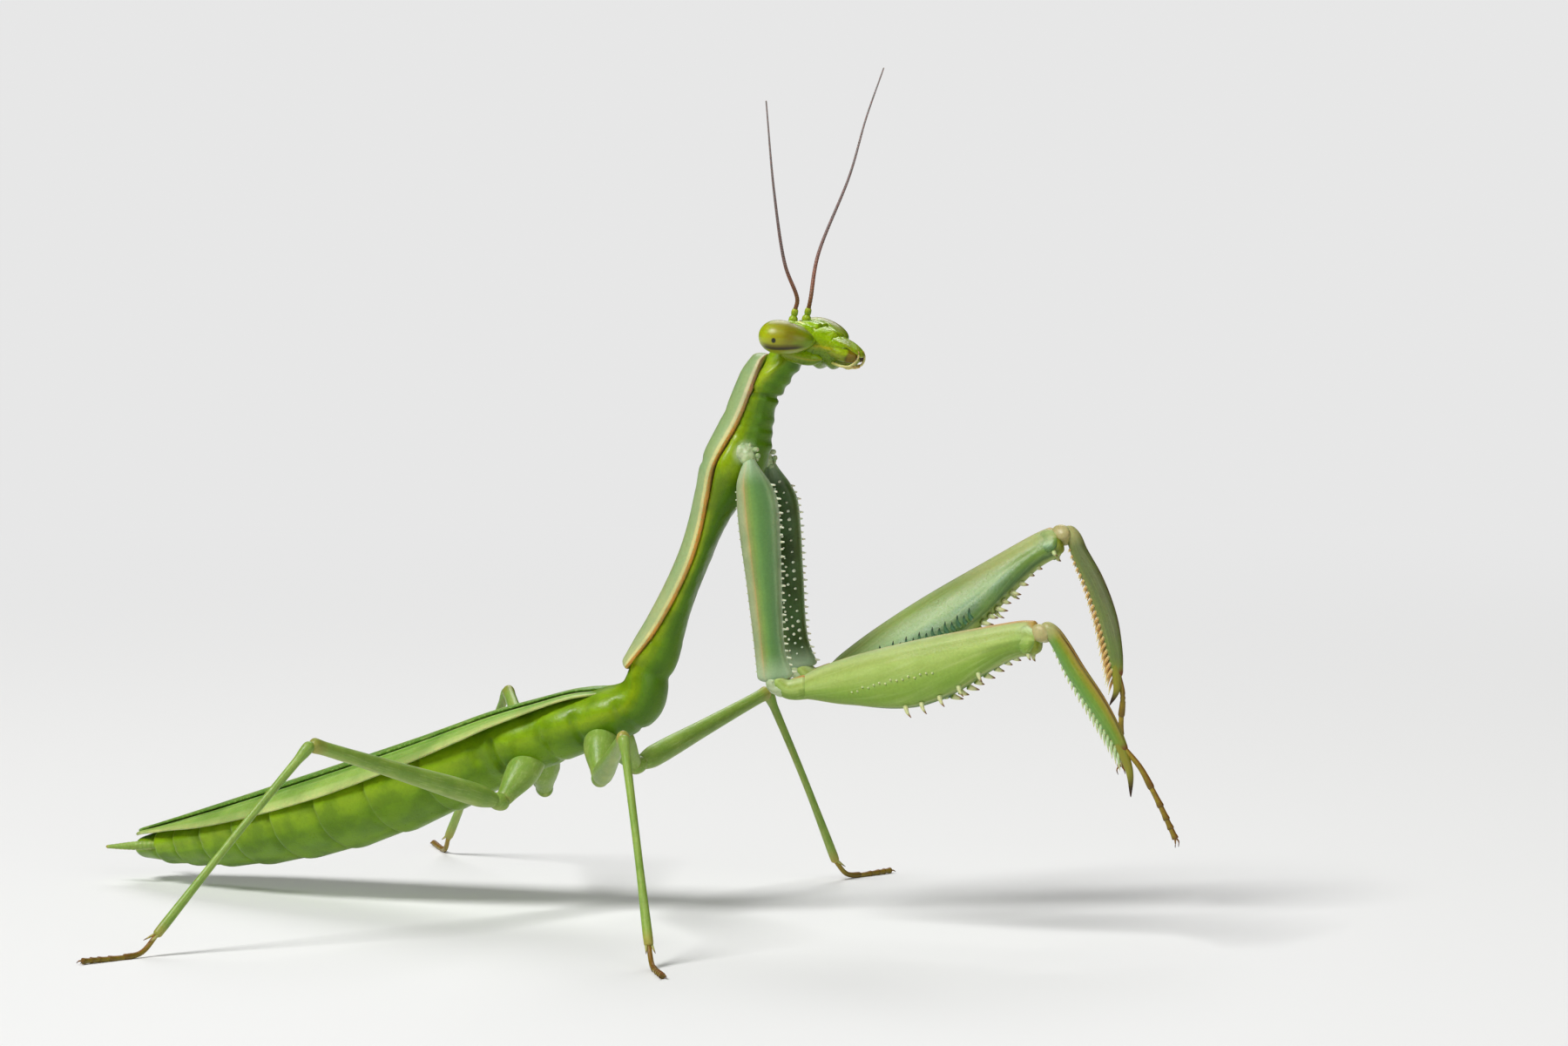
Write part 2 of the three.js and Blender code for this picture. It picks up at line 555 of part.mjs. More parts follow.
// ---- Folded forewings, the left over the right ----
const WING_OUTER = along([0, 1.0], [0.1, 2.3], [0.3, 3.2], [0.55, 3.6], [0.8, 3.1], [0.93, 1.9], [1, 0.6]);
const WING_INNER = along([0, 0.3], [0.1, 0.9], [0.3, 1.7], [0.6, 2.0], [0.85, 1.5], [1, 0.3]);
function forewing(sign, lift) {
  const section = (t, angle) => {
    const middle = (WING_OUTER(t) - WING_INNER(t)) / 2;
    const half = (WING_OUTER(t) + WING_INNER(t)) / 2;
    const across = sign * middle + half * Math.cos(angle);
    const fold = 0.2 * Math.max(Math.abs(across) - 2.2, 0) ** 2; // the edges turn down over the sides
    const sag = 0.085 * across ** 2 * Math.min(1, 0.5 + 2 * t) + fold;
    const plate = (WING_THICK / 2) * Math.sign(Math.sin(angle)) * Math.abs(Math.sin(angle)) ** 0.5;
    return [across, plate - sag + lift];
  };
  return loft(curve(WING_LINE), section, { sides: 12, rings: 10 });
}
add("forewing_right", forewing(-1, 0), WING_GREEN, point(WING_LINE[0]));
add("forewing_left", forewing(1, WING_THICK + GAP), WING_GREEN, point(WING_LINE[0]));

mantis.position.set(-BASE_CENTRE[0], -BASE_CENTRE[1], 0);
export default mantis;
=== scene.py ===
import bisect
import functools
import math

import bmesh
import bpy
from mathutils import Matrix, Vector, noise


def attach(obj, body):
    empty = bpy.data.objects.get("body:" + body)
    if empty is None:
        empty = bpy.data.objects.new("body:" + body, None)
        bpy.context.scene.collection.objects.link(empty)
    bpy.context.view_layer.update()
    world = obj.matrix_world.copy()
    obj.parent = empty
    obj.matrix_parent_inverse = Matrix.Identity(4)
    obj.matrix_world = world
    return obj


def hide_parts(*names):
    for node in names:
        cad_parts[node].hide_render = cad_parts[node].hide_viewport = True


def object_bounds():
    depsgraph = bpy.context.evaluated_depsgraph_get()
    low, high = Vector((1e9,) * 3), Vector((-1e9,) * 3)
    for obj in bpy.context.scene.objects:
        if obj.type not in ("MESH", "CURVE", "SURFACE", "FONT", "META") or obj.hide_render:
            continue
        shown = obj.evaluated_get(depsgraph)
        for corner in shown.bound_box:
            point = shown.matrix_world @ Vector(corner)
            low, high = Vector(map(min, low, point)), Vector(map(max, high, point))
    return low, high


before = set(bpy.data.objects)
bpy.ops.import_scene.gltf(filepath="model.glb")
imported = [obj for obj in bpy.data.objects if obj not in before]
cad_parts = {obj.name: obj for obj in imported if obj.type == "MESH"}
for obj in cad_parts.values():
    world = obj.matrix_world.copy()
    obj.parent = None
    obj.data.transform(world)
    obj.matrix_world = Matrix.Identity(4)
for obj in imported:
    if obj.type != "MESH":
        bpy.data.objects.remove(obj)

cad_low, cad_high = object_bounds()

# ---- Studio ----
# A pale matt floor that fades into an equally pale background, and soft lamps above it. The camera
# stands low on the animal's right, a little ahead of it, and looks slightly down on it.
PALE = (0.8, 0.8, 0.8, 1)
FLOOR = {"reach": 6.0, "colour": (0.84, 0.84, 0.83, 1), "rough": 0.7, "fade": (0.05, 0.32)}
CAMERA = {"target": (0.00994, -0.00134, 0.0231), "turn": 15.0, "height": 4.0, "far": 0.35, "lens": 140.0}
LAMPS = [  # name, direction to it from the animal, size, watts
    ("key", (-0.55, -0.75, 1.15), 0.42, 10.5),
    ("fill", (1.0, -0.9, 0.45), 0.6, 2.0),
    ("back", (-0.2, 1.0, 0.9), 0.6, 3.4),
]
LAMP_FAR = 1.0
SKY = 0.34


def paint(code):
    """A colour written as #rrggbb, in the linear numbers that a shader takes."""
    parts = [int(code[i : i + 2], 16) / 255 for i in (1, 3, 5)]
    return [p / 12.92 if p <= 0.04045 else ((p + 0.055) / 1.055) ** 2.4 for p in parts] + [1.0]


class Nodes:
    """A shader's nodes, with short ways to add more. A socket takes a value, a colour written as
    #rrggbb, or the output that feeds it."""

    def __init__(self, tree):
        self.tree = tree

    def feed(self, node, sockets):
        for name, value in sockets.items():
            if isinstance(value, bpy.types.NodeSocket):
                self.tree.links.new(value, node.inputs[name])
            else:
                node.inputs[name].default_value = paint(value) if isinstance(value, str) else value
        return node

    def put(self, kind, sockets=None, **settings):
        node = self.tree.nodes.new("ShaderNode" + kind)
        for name, value in settings.items():
            setattr(node, name, value)
        return self.feed(node, sockets or {}).outputs

    def maths(self, how, *values):
        return self.put("Math", dict(enumerate(values)), operation=how)[0]

    def eased(self, value, low, high):
        """0 below low and 1 above high, or the other way round where low is the larger."""
        sockets = {"Value": value, "From Min": low, "From Max": high}
        return self.put("MapRange", sockets, interpolation_type="SMOOTHSTEP")[0]

    def show(self, share, lit, plain, output):
        """Shows an even paleness for a share of the light, and the lit surface for the rest."""
        both = self.put("MixShader", {0: share, 1: lit.outputs[0], 2: plain[0]})
        self.feed(self.tree.nodes[output], {"Surface": both[0]})


def hang(name, data, way, spot, far):
    """Hangs the camera or a lamp at a distance from a spot, turned to face it."""
    hung = bpy.data.objects.new(name, data)
    hung.location = spot + way.normalized() * far
    hung.rotation_euler = way.to_track_quat("Z", "Y").to_euler()
    scene.collection.objects.link(hung)
    return hung


scene = bpy.context.scene
scene.view_settings.view_transform = "Standard"
lens = bpy.data.cameras.new("camera")
lens.lens = CAMERA["lens"]
lens.sensor_width = 36
lens.clip_start = 0.01
turn, height = math.radians(CAMERA["turn"]), math.radians(CAMERA["height"])
away = Vector((math.sin(turn) * math.cos(height), -math.cos(turn) * math.cos(height), math.sin(height)))
scene.camera = hang("camera", lens, away, Vector(CAMERA["target"]), CAMERA["far"])
for name, direction, size, watts in LAMPS:
    light = bpy.data.lights.new("lamp_" + name, "AREA")
    light.shape = "DISK"
    light.size = size
    light.energy = watts
    hang(light.name, light, Vector(direction), (cad_low + cad_high) / 2, LAMP_FAR)

scene.world = bpy.data.worlds.new("studio")
scene.world.use_nodes = True
nodes = Nodes(scene.world.node_tree)
dome = nodes.feed(nodes.tree.nodes["Background"], {"Strength": SKY})
seen = nodes.put("Background", {"Color": PALE, "Strength": 1.0})
straight = nodes.put("LightPath")["Is Camera Ray"]
nodes.show(straight, dome, seen, "World Output")

shape = bmesh.new()
bmesh.ops.create_circle(shape, cap_ends=True, radius=FLOOR["reach"], segments=96)
floor = bpy.data.objects.new("floor", bpy.data.meshes.new("floor"))
shape.to_mesh(floor.data)
shape.free()
scene.collection.objects.link(floor)
matt = bpy.data.materials.new("floor_matt")
matt.use_nodes = True
nodes = Nodes(matt.node_tree)
board = {"Base Color": FLOOR["colour"], "Roughness": FLOOR["rough"]}
board = nodes.feed(nodes.tree.nodes["Principled BSDF"], board)
distance = nodes.put("VectorMath", {0: nodes.put("TexCoord")["Object"]}, operation="LENGTH")["Value"]
straight = nodes.put("LightPath")["Is Camera Ray"]
fade = nodes.maths("MULTIPLY", nodes.eased(distance, *FLOOR["fade"]), straight)
nodes.show(fade, board, nodes.put("Emission", {"Color": PALE}), "Material Output")
floor.data.materials.append(matt)

# ---- Trunk ----
# The soft-jointed body from the neck to the tip of the abdomen: green cuticle, smooth and waxy on the
# breast, whitish where it is soft round the hips, and in overlapping rings on the abdomen. Millimetres,
# in the animal's own frame, whose plane Y = 0 runs through the raised prothorax.
MM = 0.001
TO_BASE = Vector((2.068, -1.341, 0.0))  # from the animal's own frame to the middle of its base
UP = Vector((0, 0, 1))
AHEAD = Vector((1, 0, 0))
PRONOTUM_LINE = [
    (6.9, 0, 32.8), (5.55, 0, 29.2), (4.2, 0, 26.5), (3.72, 0, 24.7), (2.6, 0, 20.9), (0.5, 0, 16.9),
    (-1.35, 0, 14.5),
]
NECK = [((8.75, 0.07, 33.6), 0.9, 0.85), ((8.4, 0.05, 33.2), 1, 0.9), ((8.0, 0.02, 32.6), 1.1, 0.95)]
TRUNK_LINE = [(0.75, 0, 14.2), (-1.4, 0.1, 12.5), (-4.8, 0.45, 11.2), (-8.9, 1.1, 9.85)]
ABDOMEN_LINE = [
    (-9, 1.12, 9.82), (-13.5, 2.05, 8.05), (-19, 3.5, 6.05), (-25.5, 5.6, 4.1), (-31.5, 7.7, 2.65),
    (-35.2, 9, 1.95),
]
SHIELD_EDGE = 0.16
BREAST_SEAM = 30.5  # how high
THORAX_SEAMS = [(0.2, 0.12), (-1.5, 0.16), (-4.0, 0.2), (-6.1, 0.14), (-9.0, 0.2)]  # where and how deep
THROAT_FOLDS = [
    (32.3, 0.1), (31.5, 0.14), (30.85, 0.12), (30.2, 0.08), (29.1, 0.07), (28.4, 0.08), (27.7, 0.1),
]
SEGMENTS = [0.03, 0.16, 0.29, 0.42, 0.54, 0.65, 0.75, 0.84, 0.91]  # fronts of the abdomen's rings
TRUNK_SPOTS = [  # where, how large, colour and strength, on each side of the breast
    ((x, side * left, z), size, code, amount)
    for side in (1, -1)
    for x, left, z, size, code, amount in (
        # The first spot is a pale patch on the collar's bulge: a painted highlight.
        (6.9, 1.2, 32.0, 1.0, "#afbf28", 0.55),
        (5.0, 2.0, 26.6, 1.7, "#87a208", 0.8),
        (6.2, 1.9, 27.2, 1.0, "#b9c79a", 0.85),
    )
]
GLOSS = {
    "Subsurface Weight": 0.15, "Subsurface Scale": 0.0006, "Specular IOR Level": 0.28, "Coat Weight": 0.06,
    "Coat Roughness": 0.25,
}


def in_metres(spot):
    return ((Vector(spot) + TO_BASE) * MM)[:]


def along(stations):
    """A smooth value along a piece, through the values at some places from 0 to 1."""
    places, stations = list(stations), list(stations.items())
    last = len(stations) - 1

    def slope(i):
        (t0, v0), (t1, v1) = stations[max(i - 1, 0)], stations[min(i + 1, last)]
        return (v1 - v0) / (t1 - t0)

    @functools.cache  # all the points of a ring ask for the same place
    def value(t):
        i = min(max(bisect.bisect_left(places, t), 1), last)
        (t0, v0), (t1, v1) = stations[i - 1], stations[i]
        s = min(max((t - t0) / (t1 - t0), 0), 1)
        turned = slope(i - 1) * s * (1 - s) ** 2 + slope(i) * s * s * (s - 1)
        return v0 + (v1 - v0) * s * s * (3 - 2 * s) + (t1 - t0) * turned

    return value


class Line:
    """A smooth line through points, read by its share: 0 at the first point, 1 at the last."""

    def __init__(self, points, fine=24):
        p = [Vector(q) for q in points]
        p = [2 * p[0] - p[1], *p, 2 * p[-1] - p[-2]]
        self.dense = []
        for a, b, c, d in zip(p, p[1:], p[2:], p[3:]):
            g = [max((y - x).length, 1e-6) ** 0.5 for x, y in ((a, b), (b, c), (c, d))]
            leave = ((b - a) / g[0] - (c - a) / (g[0] + g[1])) * g[1] + c - b
            arrive = ((d - c) / g[2] - (d - b) / (g[1] + g[2])) * g[1] + c - b
            for k in range(fine):
                s = k / fine
                turned = leave * s * (1 - s) ** 2 + arrive * s * s * (s - 1)
                self.dense.append(b.lerp(c, s * s * (3 - 2 * s)) + turned)
        self.dense.append(p[-2])
        self.reach = [0.0]
        for a, b in zip(self.dense, self.dense[1:]):
            self.reach.append(self.reach[-1] + (b - a).length)

    def at(self, share):
        goal = min(max(share, 0), 1) * self.reach[-1]
        i = min(max(bisect.bisect_left(self.reach, goal), 1), len(self.reach) - 1)
        step = self.reach[i] - self.reach[i - 1]
        return self.dense[i - 1].lerp(self.dense[i], (goal - self.reach[i - 1]) / step)

    def axes(self, share, up):
        """Directions at a share of the line: along it, to its side, and to its top."""
        reach = 0.012
        way = (self.at(share + reach) - self.at(share - reach)).normalized()
        side = way.cross(up).normalized()
        return way, side, side.cross(way)


def new_shape():
    shape = bmesh.new()
    shape.verts.layers.float_vector.new("place")
    shape.verts.layers.float.new("tip")
    return shape


def sized(size):
    """A size as a function of the place along a piece, also where it is the same all along."""
    return size if callable(size) else lambda t: size


def oval(half, top=None, bottom=None, sharp=1.0):
    """A section with a half width, and a height above and below the line. Sharp over 1 gives it edges
    at top and bottom. A section gives an outline at each place along the line, by cosine and sine."""
    half, top, bottom = (sized(size) for size in (half, top or half, bottom or top or half))
    return lambda t, c, s: (half(t) * math.copysign(abs(c) ** sharp, c), (top if s > 0 else bottom)(t) * s)


def sleeve(shape, line, section, rings=24, sides=24, up=UP, ends=0.05, tip=None, hand=1, soft=6):
    """Adds a tube of cuticle, extruded ring by ring along a line and rounded off at both ends.
    Each point keeps its place: its share of the length, and which way it faces across and above.
    A hand of -1 turns that across round, so that it tells the outer face from the inner one."""
    line = line if isinstance(line, Line) else Line(line)
    first, last = ends if isinstance(ends, tuple) else (ends, ends)
    turns = [k / soft * math.pi / 2 for k in range(soft)]
    stations = [(first * (1 - math.cos(a)), math.sin(a)) for a in turns]
    stations += [(first + (1 - first - last) * i / rings, 1) for i in range(rings + 1)]
    stations += [(1 - last * (1 - math.cos(a)), math.sin(a)) for a in reversed(turns)]
    tube = new_shape()
    place, tipped = tube.verts.layers.float_vector["place"], tube.verts.layers.float["tip"]
    ring = bmesh.ops.create_circle(tube, segments=sides, radius=1)["verts"]
    edges = list({edge for vert in ring for edge in vert.link_edges})
    for vert in ring:
        angle = math.atan2(vert.co.y, vert.co.x)
        vert[place] = (0, math.cos(angle), math.sin(angle))
    for number, (t, full) in enumerate(stations):
        if number:
            made = bmesh.ops.extrude_edge_only(tube, edges=edges)["geom"]
            ring = [item for item in made if isinstance(item, bmesh.types.BMVert)]
            new = set(ring)
            edges = [e for e in made if isinstance(e, bmesh.types.BMEdge) and new.issuperset(e.verts)]
        centre = line.at(t)
        _, side, top = line.axes(t, up)
        for vert in ring:
            _, c, s = vert[place]
            across, above = section(t, c * hand, s)
            vert.co = centre + side * (across * full) + top * (above * full)
            vert[place] = (t, c, s)
            vert[tipped] = tip(t) if tip else 0
    bmesh.ops.remove_doubles(tube, verts=tube.verts, dist=1e-5)
    bmesh.ops.recalc_face_normals(tube, faces=tube.faces)
    held = bpy.data.meshes.new("tube")
    tube.to_mesh(held)
    tube.free()
    shape.from_mesh(held)
    bpy.data.meshes.remove(held)


def piece(name, shape, material, slot, *nodes):
    """Finishes a shape as one piece of the animal, in metres, in the frame of the solids."""
    in_frame = Matrix.Scale(MM, 4) @ Matrix.Translation(TO_BASE)
    bmesh.ops.transform(shape, matrix=in_frame, verts=shape.verts)
    mesh = bpy.data.meshes.new(name)
    shape.to_mesh(mesh)
    shape.free()
    mesh.shade_smooth()
    mesh.materials.append(material)
    made = bpy.data.objects.new(name, mesh)
    scene.collection.objects.link(made)
    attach(made, "root")
    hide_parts(*nodes)
    return made


class Paints(Nodes):
    """The nodes that colour a cuticle."""

    def mix(self, share, first, second, how="MIX"):
        sockets = {0: share, 6: first, 7: second}
        return self.put("Mix", sockets, data_type="RGBA", blend_type=how)[2]

    def over(self, below, colour, share, *shares):
        """Lays a colour over the one below it, by the product of the shares."""
        for other in shares:
            share = self.maths("MULTIPLY", share, other)
        return self.mix(share, below, colour)

    def ramp(self, value, stops):
        """A colour that changes with a value, through the colours at some values from 0 to 1."""
        colour = self.put("ValToRGB", {0: value})[0]
        ramp = colour.node.color_ramp
        ramp.interpolation = "EASE"
        while len(ramp.elements) < len(stops):
            ramp.elements.new(0.5)
        for element, (where, code) in zip(ramp.elements, sorted(stops.items())):
            element.position = where
            element.color = paint(code)
        return colour

    def band(self, value, centre, half, soft):
        """1 within a band of values, 0 outside it."""
        off = self.maths("ABSOLUTE", self.maths("SUBTRACT", value, centre))
        return self.eased(off, half + soft, half)

    def spots(self, below, spots, core):
        """Lays round spots over a colour: where each is, how large, its colour and its strength."""
        for spot, size, code, amount in spots:
            sockets = {0: self.spot, 1: in_metres(spot)}
            off = self.put("VectorMath", sockets, operation="DISTANCE")["Value"]
            below = self.over(below, code, self.eased(off, size * MM, core * size * MM), amount)
        return below


def new_group(name, inputs, outputs):
    group = bpy.data.node_groups.new(name, "ShaderNodeTree")
    for way, sockets in (("INPUT", inputs), ("OUTPUT", outputs)):
        for socket, kind in sockets.items():
            group.interface.new_socket(name=socket, in_out=way, socket_type="NodeSocket" + kind)
    entry = group.nodes.new("NodeGroupInput").outputs
    return group, Paints(group), entry, group.nodes.new("NodeGroupOutput")


# The grain of all cuticle: soft mottling, fine pits and a little unevenness of its gloss.
cuticle, nodes, given, out = new_group(
    "cuticle",
    {"Colour": "Color", "Deep": "Color", "Mottle": "Float", "Patch": "Float", "Rough": "Float"},
    {"Colour": "Color", "Rough": "Float", "Height": "Float"},
)
spot = nodes.put("TexCoord")["Object"]
patches = nodes.put("TexNoise", {"Vector": spot, "Scale": given["Patch"], "Detail": 4.0})[0]
grain = nodes.put("TexNoise", {"Vector": spot, "Scale": 7000.0, "Detail": 3.0})[0]
pits = nodes.put("TexVoronoi", {"Vector": spot, "Scale": 9000.0})["Distance"]
toned = nodes.over(given["Colour"], given["Deep"], nodes.eased(patches, 0.38, 0.68), given["Mottle"])
light = nodes.maths("MULTIPLY_ADD", grain, 0.3, 0.85)
shade = nodes.put("CombineXYZ", {0: light, 1: light, 2: light})[0]
uneven = nodes.maths("SUBTRACT", grain, 0.5)
dimples = nodes.maths("MULTIPLY", nodes.eased(pits, 0.25, 0.0), -0.6)
relief = nodes.maths("MULTIPLY_ADD", grain, 0.6, dimples)
nodes.feed(
    out,
    {
        "Colour": nodes.mix(1.0, toned, shade, "MULTIPLY"),
        "Rough": nodes.maths("MULTIPLY_ADD", uneven, 0.35, given["Rough"]),
        "Height": nodes.maths("MULTIPLY_ADD", patches, 0.8, relief),
    },
)

# Spines, teeth and claws, told apart by how far along them a point lies: 0 to 1 on the outer spines,
# -1 to 0 on the inner ones, and 1.2 to 2.2 on a claw. Their points are darker than their roots.
SPINE_TINTS = ("Outer Root", "Outer Point", "Inner Root", "Inner Point", "Claw")
spined, nodes, given, out = new_group(
    "spined", {socket: "Color" for socket in ("Colour", *SPINE_TINTS)}, {"Colour": "Color"}
)
tip = nodes.put("Attribute", attribute_name="tip")["Fac"]
is_inner = nodes.maths("LESS_THAN", tip, -0.001)
size = nodes.maths("ABSOLUTE", tip)
root = nodes.mix(is_inner, given["Outer Root"], given["Inner Root"])
point = nodes.mix(is_inner, given["Outer Point"], given["Inner Point"])
result = given["Colour"]
tints = (root, 0.02, 0.2), (point, 0.55, 0.9), (given["Claw"], 1.1, 1.2), ("#2c1a08", 1.75, 2.1)
for tint, low, high in tints:
    result = nodes.over(result, tint, nodes.eased(size, low, high))
nodes.feed(out, {"Colour": result})


def finish(deep, mottle=0.5, patch=700.0, rough=0.36, relief=0.00003, spines=None, gloss=None):
    """Makes a cuticle's material of a function that gives its colour from the place on a piece: along
    it, across it and above its line. The level is how far above, from 0 to 1."""

    def made(colour):
        material = bpy.data.materials.new(colour.__name__)
        material.use_nodes = True
        n = Paints(material.node_tree)
        n.spot = n.put("TexCoord")["Object"]
        n.place = n.put("Attribute", attribute_name="place")["Vector"]
        n.along, n.across, n.above = n.put("SeparateXYZ", {0: n.place})
        n.level = n.maths("MULTIPLY_ADD", n.above, 0.5, 0.5)
        grain = {"Colour": colour(n), "Deep": deep, "Mottle": mottle, "Patch": patch, "Rough": rough}
        grained = n.put("Group", grain, node_tree=cuticle)
        shown = grained["Colour"]
        if spines:
            tints = dict(zip(SPINE_TINTS, (*spines, *spines[:2], spines[1])))
            shown = n.put("Group", {"Colour": shown, **tints}, node_tree=spined)[0]
        bump = n.put("Bump", {"Height": grained["Height"], "Distance": relief})[0]
        sockets = {"Base Color": shown, "Roughness": grained["Rough"], "Normal": bump}
        n.feed(n.tree.nodes["Principled BSDF"], sockets | GLOSS | (gloss or {}))
        return material

    return made


shield_line = Line(PRONOTUM_LINE)
shield_half = along({0: 0.95, 0.04: 1.25, 0.2: 1.55, 0.35: 2.12, 0.43: 1.85, 0.52: 1.42, 0.8: 1.32, 1: 1.6})
breast_depth = along({
    0: 1.9, 0.12: 1.45, 0.19: 1.7, 0.25: 2.2, 0.32: 2.5, 0.38: 2.2, 0.46: 1.4, 0.54: 0.95, 0.63: 0.78,
    0.74: 0.92, 0.83: 1.35, 0.91: 2.0, 1: 2.5,
})
trunk_line, abdomen_line = Line(TRUNK_LINE), Line(ABDOMEN_LINE)
trunk_sizes = (
    along({0: 1.35, 0.25: 1.95, 0.5: 2.25, 1: 2.45}),
    along({0: 1, 0.25: 1.3, 0.5: 1.55, 1: 1.7}),
    along({0: 1.5, 0.25: 1.7, 0.55: 1.85, 1: 2.1}),
)
abdomen_sizes = (
    along({0: 2.3, 0.15: 2.9, 0.4: 3.3, 0.65: 3, 0.85: 2.05, 1: 0.7}),
    along({0: 1.65, 0.2: 1.75, 0.45: 1.7, 0.7: 1.4, 0.9: 0.95, 1: 0.4}),
    along({0: 2.1, 0.2: 2.6, 0.45: 2.7, 0.7: 2.15, 0.9: 1.2, 1: 0.5}),
)
BREAST_SHARES = (0.06, 0.12, 0.19, 0.25, 0.32, 0.38, 0.46, 0.54, 0.63, 0.74, 0.83, 0.9, 0.96)
ABDOMEN_SHARES = (0.1, 0.2, 0.3, 0.45, 0.6, 0.72, 0.82, 0.9, 0.96, 1)

# Each station of the trunk: its middle, half width, rise and drop, and how far above its middle it is
# widest. In the prothorax that is just under the edge of the shield.
trunk = [(Vector(spot), half, deep, deep, 0) for spot, half, deep in NECK]
under_shield = SHIELD_EDGE + 0.1
for share in BREAST_SHARES:
    depth = breast_depth(share) - under_shield
    _, _, top = shield_line.axes(share, UP)
    centre = shield_line.at(share) - top * (under_shield + depth / 2)
    trunk.append((centre, shield_half(share) - 0.15, 0.3, depth, depth / 2))
for line, sizes, shares in (
    (trunk_line, trunk_sizes, (0.2, 0.4, 0.6, 0.8, 0.98)),
    (abdomen_line, abdomen_sizes, ABDOMEN_SHARES),
):
    trunk += [(line.at(share), *(size(share) for size in sizes), 0) for share in shares]
trunk_path = Line([station[0] for station in trunk])
places = [0.0]
for a, b in zip(trunk, trunk[1:]):
    places.append(places[-1] + (b[0] - a[0]).length)
places = [place / places[-1] for place in places]
half, rise, drop, lift = (along(dict(zip(places, column))) for column in list(zip(*trunk))[1:])
abdomen_from = places[-len(ABDOMEN_SHARES)] - 0.045


def fold(value, centre, width):
    """A smooth crease or bulge across a piece: 1 at its centre."""
    return math.exp(-(((value - centre) / width) ** 2))


def within(value, low, high, soft):
    """1 between two values, easing to 0 outside them."""
    rising = min(max((value - low) / soft + 0.5, 0), 1)
    falling = min(max((high - value) / soft + 0.5, 0), 1)
    return rising * rising * (3 - 2 * rising) * falling * falling * (3 - 2 * falling)


def trunk_section(t, c, s):
    spot = trunk_path.at(t)
    ring = (t - abdomen_from) / (1 - abdomen_from)
    if spot.x > 1:  # soft folds on the throat, a suture across the breast, and the swellings of the hips
        throat = sum(size * fold(spot.z, height, 0.2) for height, size in THROAT_FOLDS)
        more = throat * (0.25 + 0.75 * max(-s, 0)) - 0.2 * fold(spot.z, BREAST_SEAM, 0.12)
        more += 0.3 * fold(spot.z, 31.7, 0.75) * fold(s, -0.25, 0.2) * abs(c)
        more += 0.3 * fold(spot.z, 26.3, 1.4) * fold(s, -0.2, 0.3)
        more -= 0.06 * within(spot.z, 27.4, 30.5, 0.3) * fold(s, -0.5, 0.05)
        more += 0.03 * noise.noise(Vector((spot.z * 2.2, c * 3.0, s * 3.0)))
    elif ring > 0:  # each ring of the abdomen widens to its rear edge, which laps over the next
        i = max(bisect.bisect_right(SEGMENTS, ring) - 1, 0)
        start, end = (SEGMENTS + [1.02])[i : i + 2]
        u = (ring - start) / (end - start)
        more = 0.16 * u**2 - 0.14 * fold(u, 0, 0.1) - 0.05 * fold(u, 1, 0.06) - 0.09 * fold(s, -0.18, 0.07)
    else:
        plates = sum(size * fold(spot.x, place, 0.17) for place, size in THORAX_SEAMS)
        more = 0.08 * math.sin(spot.x * 2.2) * (1 - abs(s)) - plates * within(s, -1.2, 0.3, 0.3)
    return (half(t) + more) * c, lift(t) + ((rise if s > 0 else drop)(t) + more) * s


@finish("#426802", rough=0.34, gloss={"Coat Weight": 0.1, "Specular IOR Level": 0.2})
def trunk_green(n):
    # Yellow-green high on the side and deep green low on it: partly painted light and painted shade.
    side = n.ramp(n.level, {
        0: "#557904", 0.15: "#4d7603", 0.27: "#5b8504", 0.38: "#769307", 0.46: "#87a00a", 0.55: "#80a00c",
    })
    side = n.spots(side, TRUNK_SPOTS, 0.4)
    ahead, _, height = n.put("SeparateXYZ", {0: n.spot})
    seam = n.band(height, in_metres((0, 0, BREAST_SEAM))[2], 0.00004, 0.00016)
    side = n.over(side, "#44600a", seam, 0.6, n.eased(ahead, 0.002, 0.006))
    return n.over(side, "#84aa12", n.eased(ahead, 0.001, -0.004), 0.5)


shape = new_shape()
sleeve(shape, trunk_path, trunk_section, rings=420, sides=56, ends=0.012)
piece(
    "trunk", shape, trunk_green, "body", "neck", "prothorax", "mesothorax", "metathorax", "abdomen_front",
    "abdomen_middle", "abdomen_tip",
)

# ---- Pronotum ----
# The long shield over the prothorax: one hard plate, widest over the front hips, with a keel along its
# back, a groove across it above the hips, and a pale edge with an orange line under it.
EDGE_TEETH = 26  # fine and blunt, along the front half of both edges
shield_arch = along({0: 0.62, 0.08: 1.1, 0.3: 1.15, 0.42: 1.05, 0.7: 1.02, 0.9: 0.88, 1: 0.55})


def shield_section(t, c, s):
    across = (shield_half(t) + 0.07 * fold(s, 0.02, 0.09)) * c
    if s < 0:
        return across, SHIELD_EDGE * s
    groove = 0.13 * fold(t, 0.37 - 0.05 * abs(c), 0.012) + 0.05 * fold(t, 0.2, 0.02)
    return across, shield_arch(t) * s**0.9 + 0.07 * fold(c, 0, 0.08) - groove * s


@finish("#7fa06f", mottle=0.35, rough=0.4)
def shield_green(n):
    back = n.ramp(n.above, {0.1: "#a0b27a", 0.5: "#93aa6e", 0.96: "#8da466", 1: "#b4bf86"})
    back = n.over(back, "#bfc088", n.eased(n.along, 0.45, 0.95), 0.5)
    cream = n.mix(n.eased(n.along, 0.3, 0.1), "#d3cc88", "#d3c79c")
    orange = n.mix(n.eased(n.along, 0.25, 0.05), "#f2b054", "#c08a68")
    back = n.over(back, cream, n.eased(n.above, 0.24, 0.14))
    back = n.over(back, orange, n.eased(n.above, 0.04, -0.02))
    return n.over(back, "#a6b83a", n.eased(n.above, -0.55, -0.75))


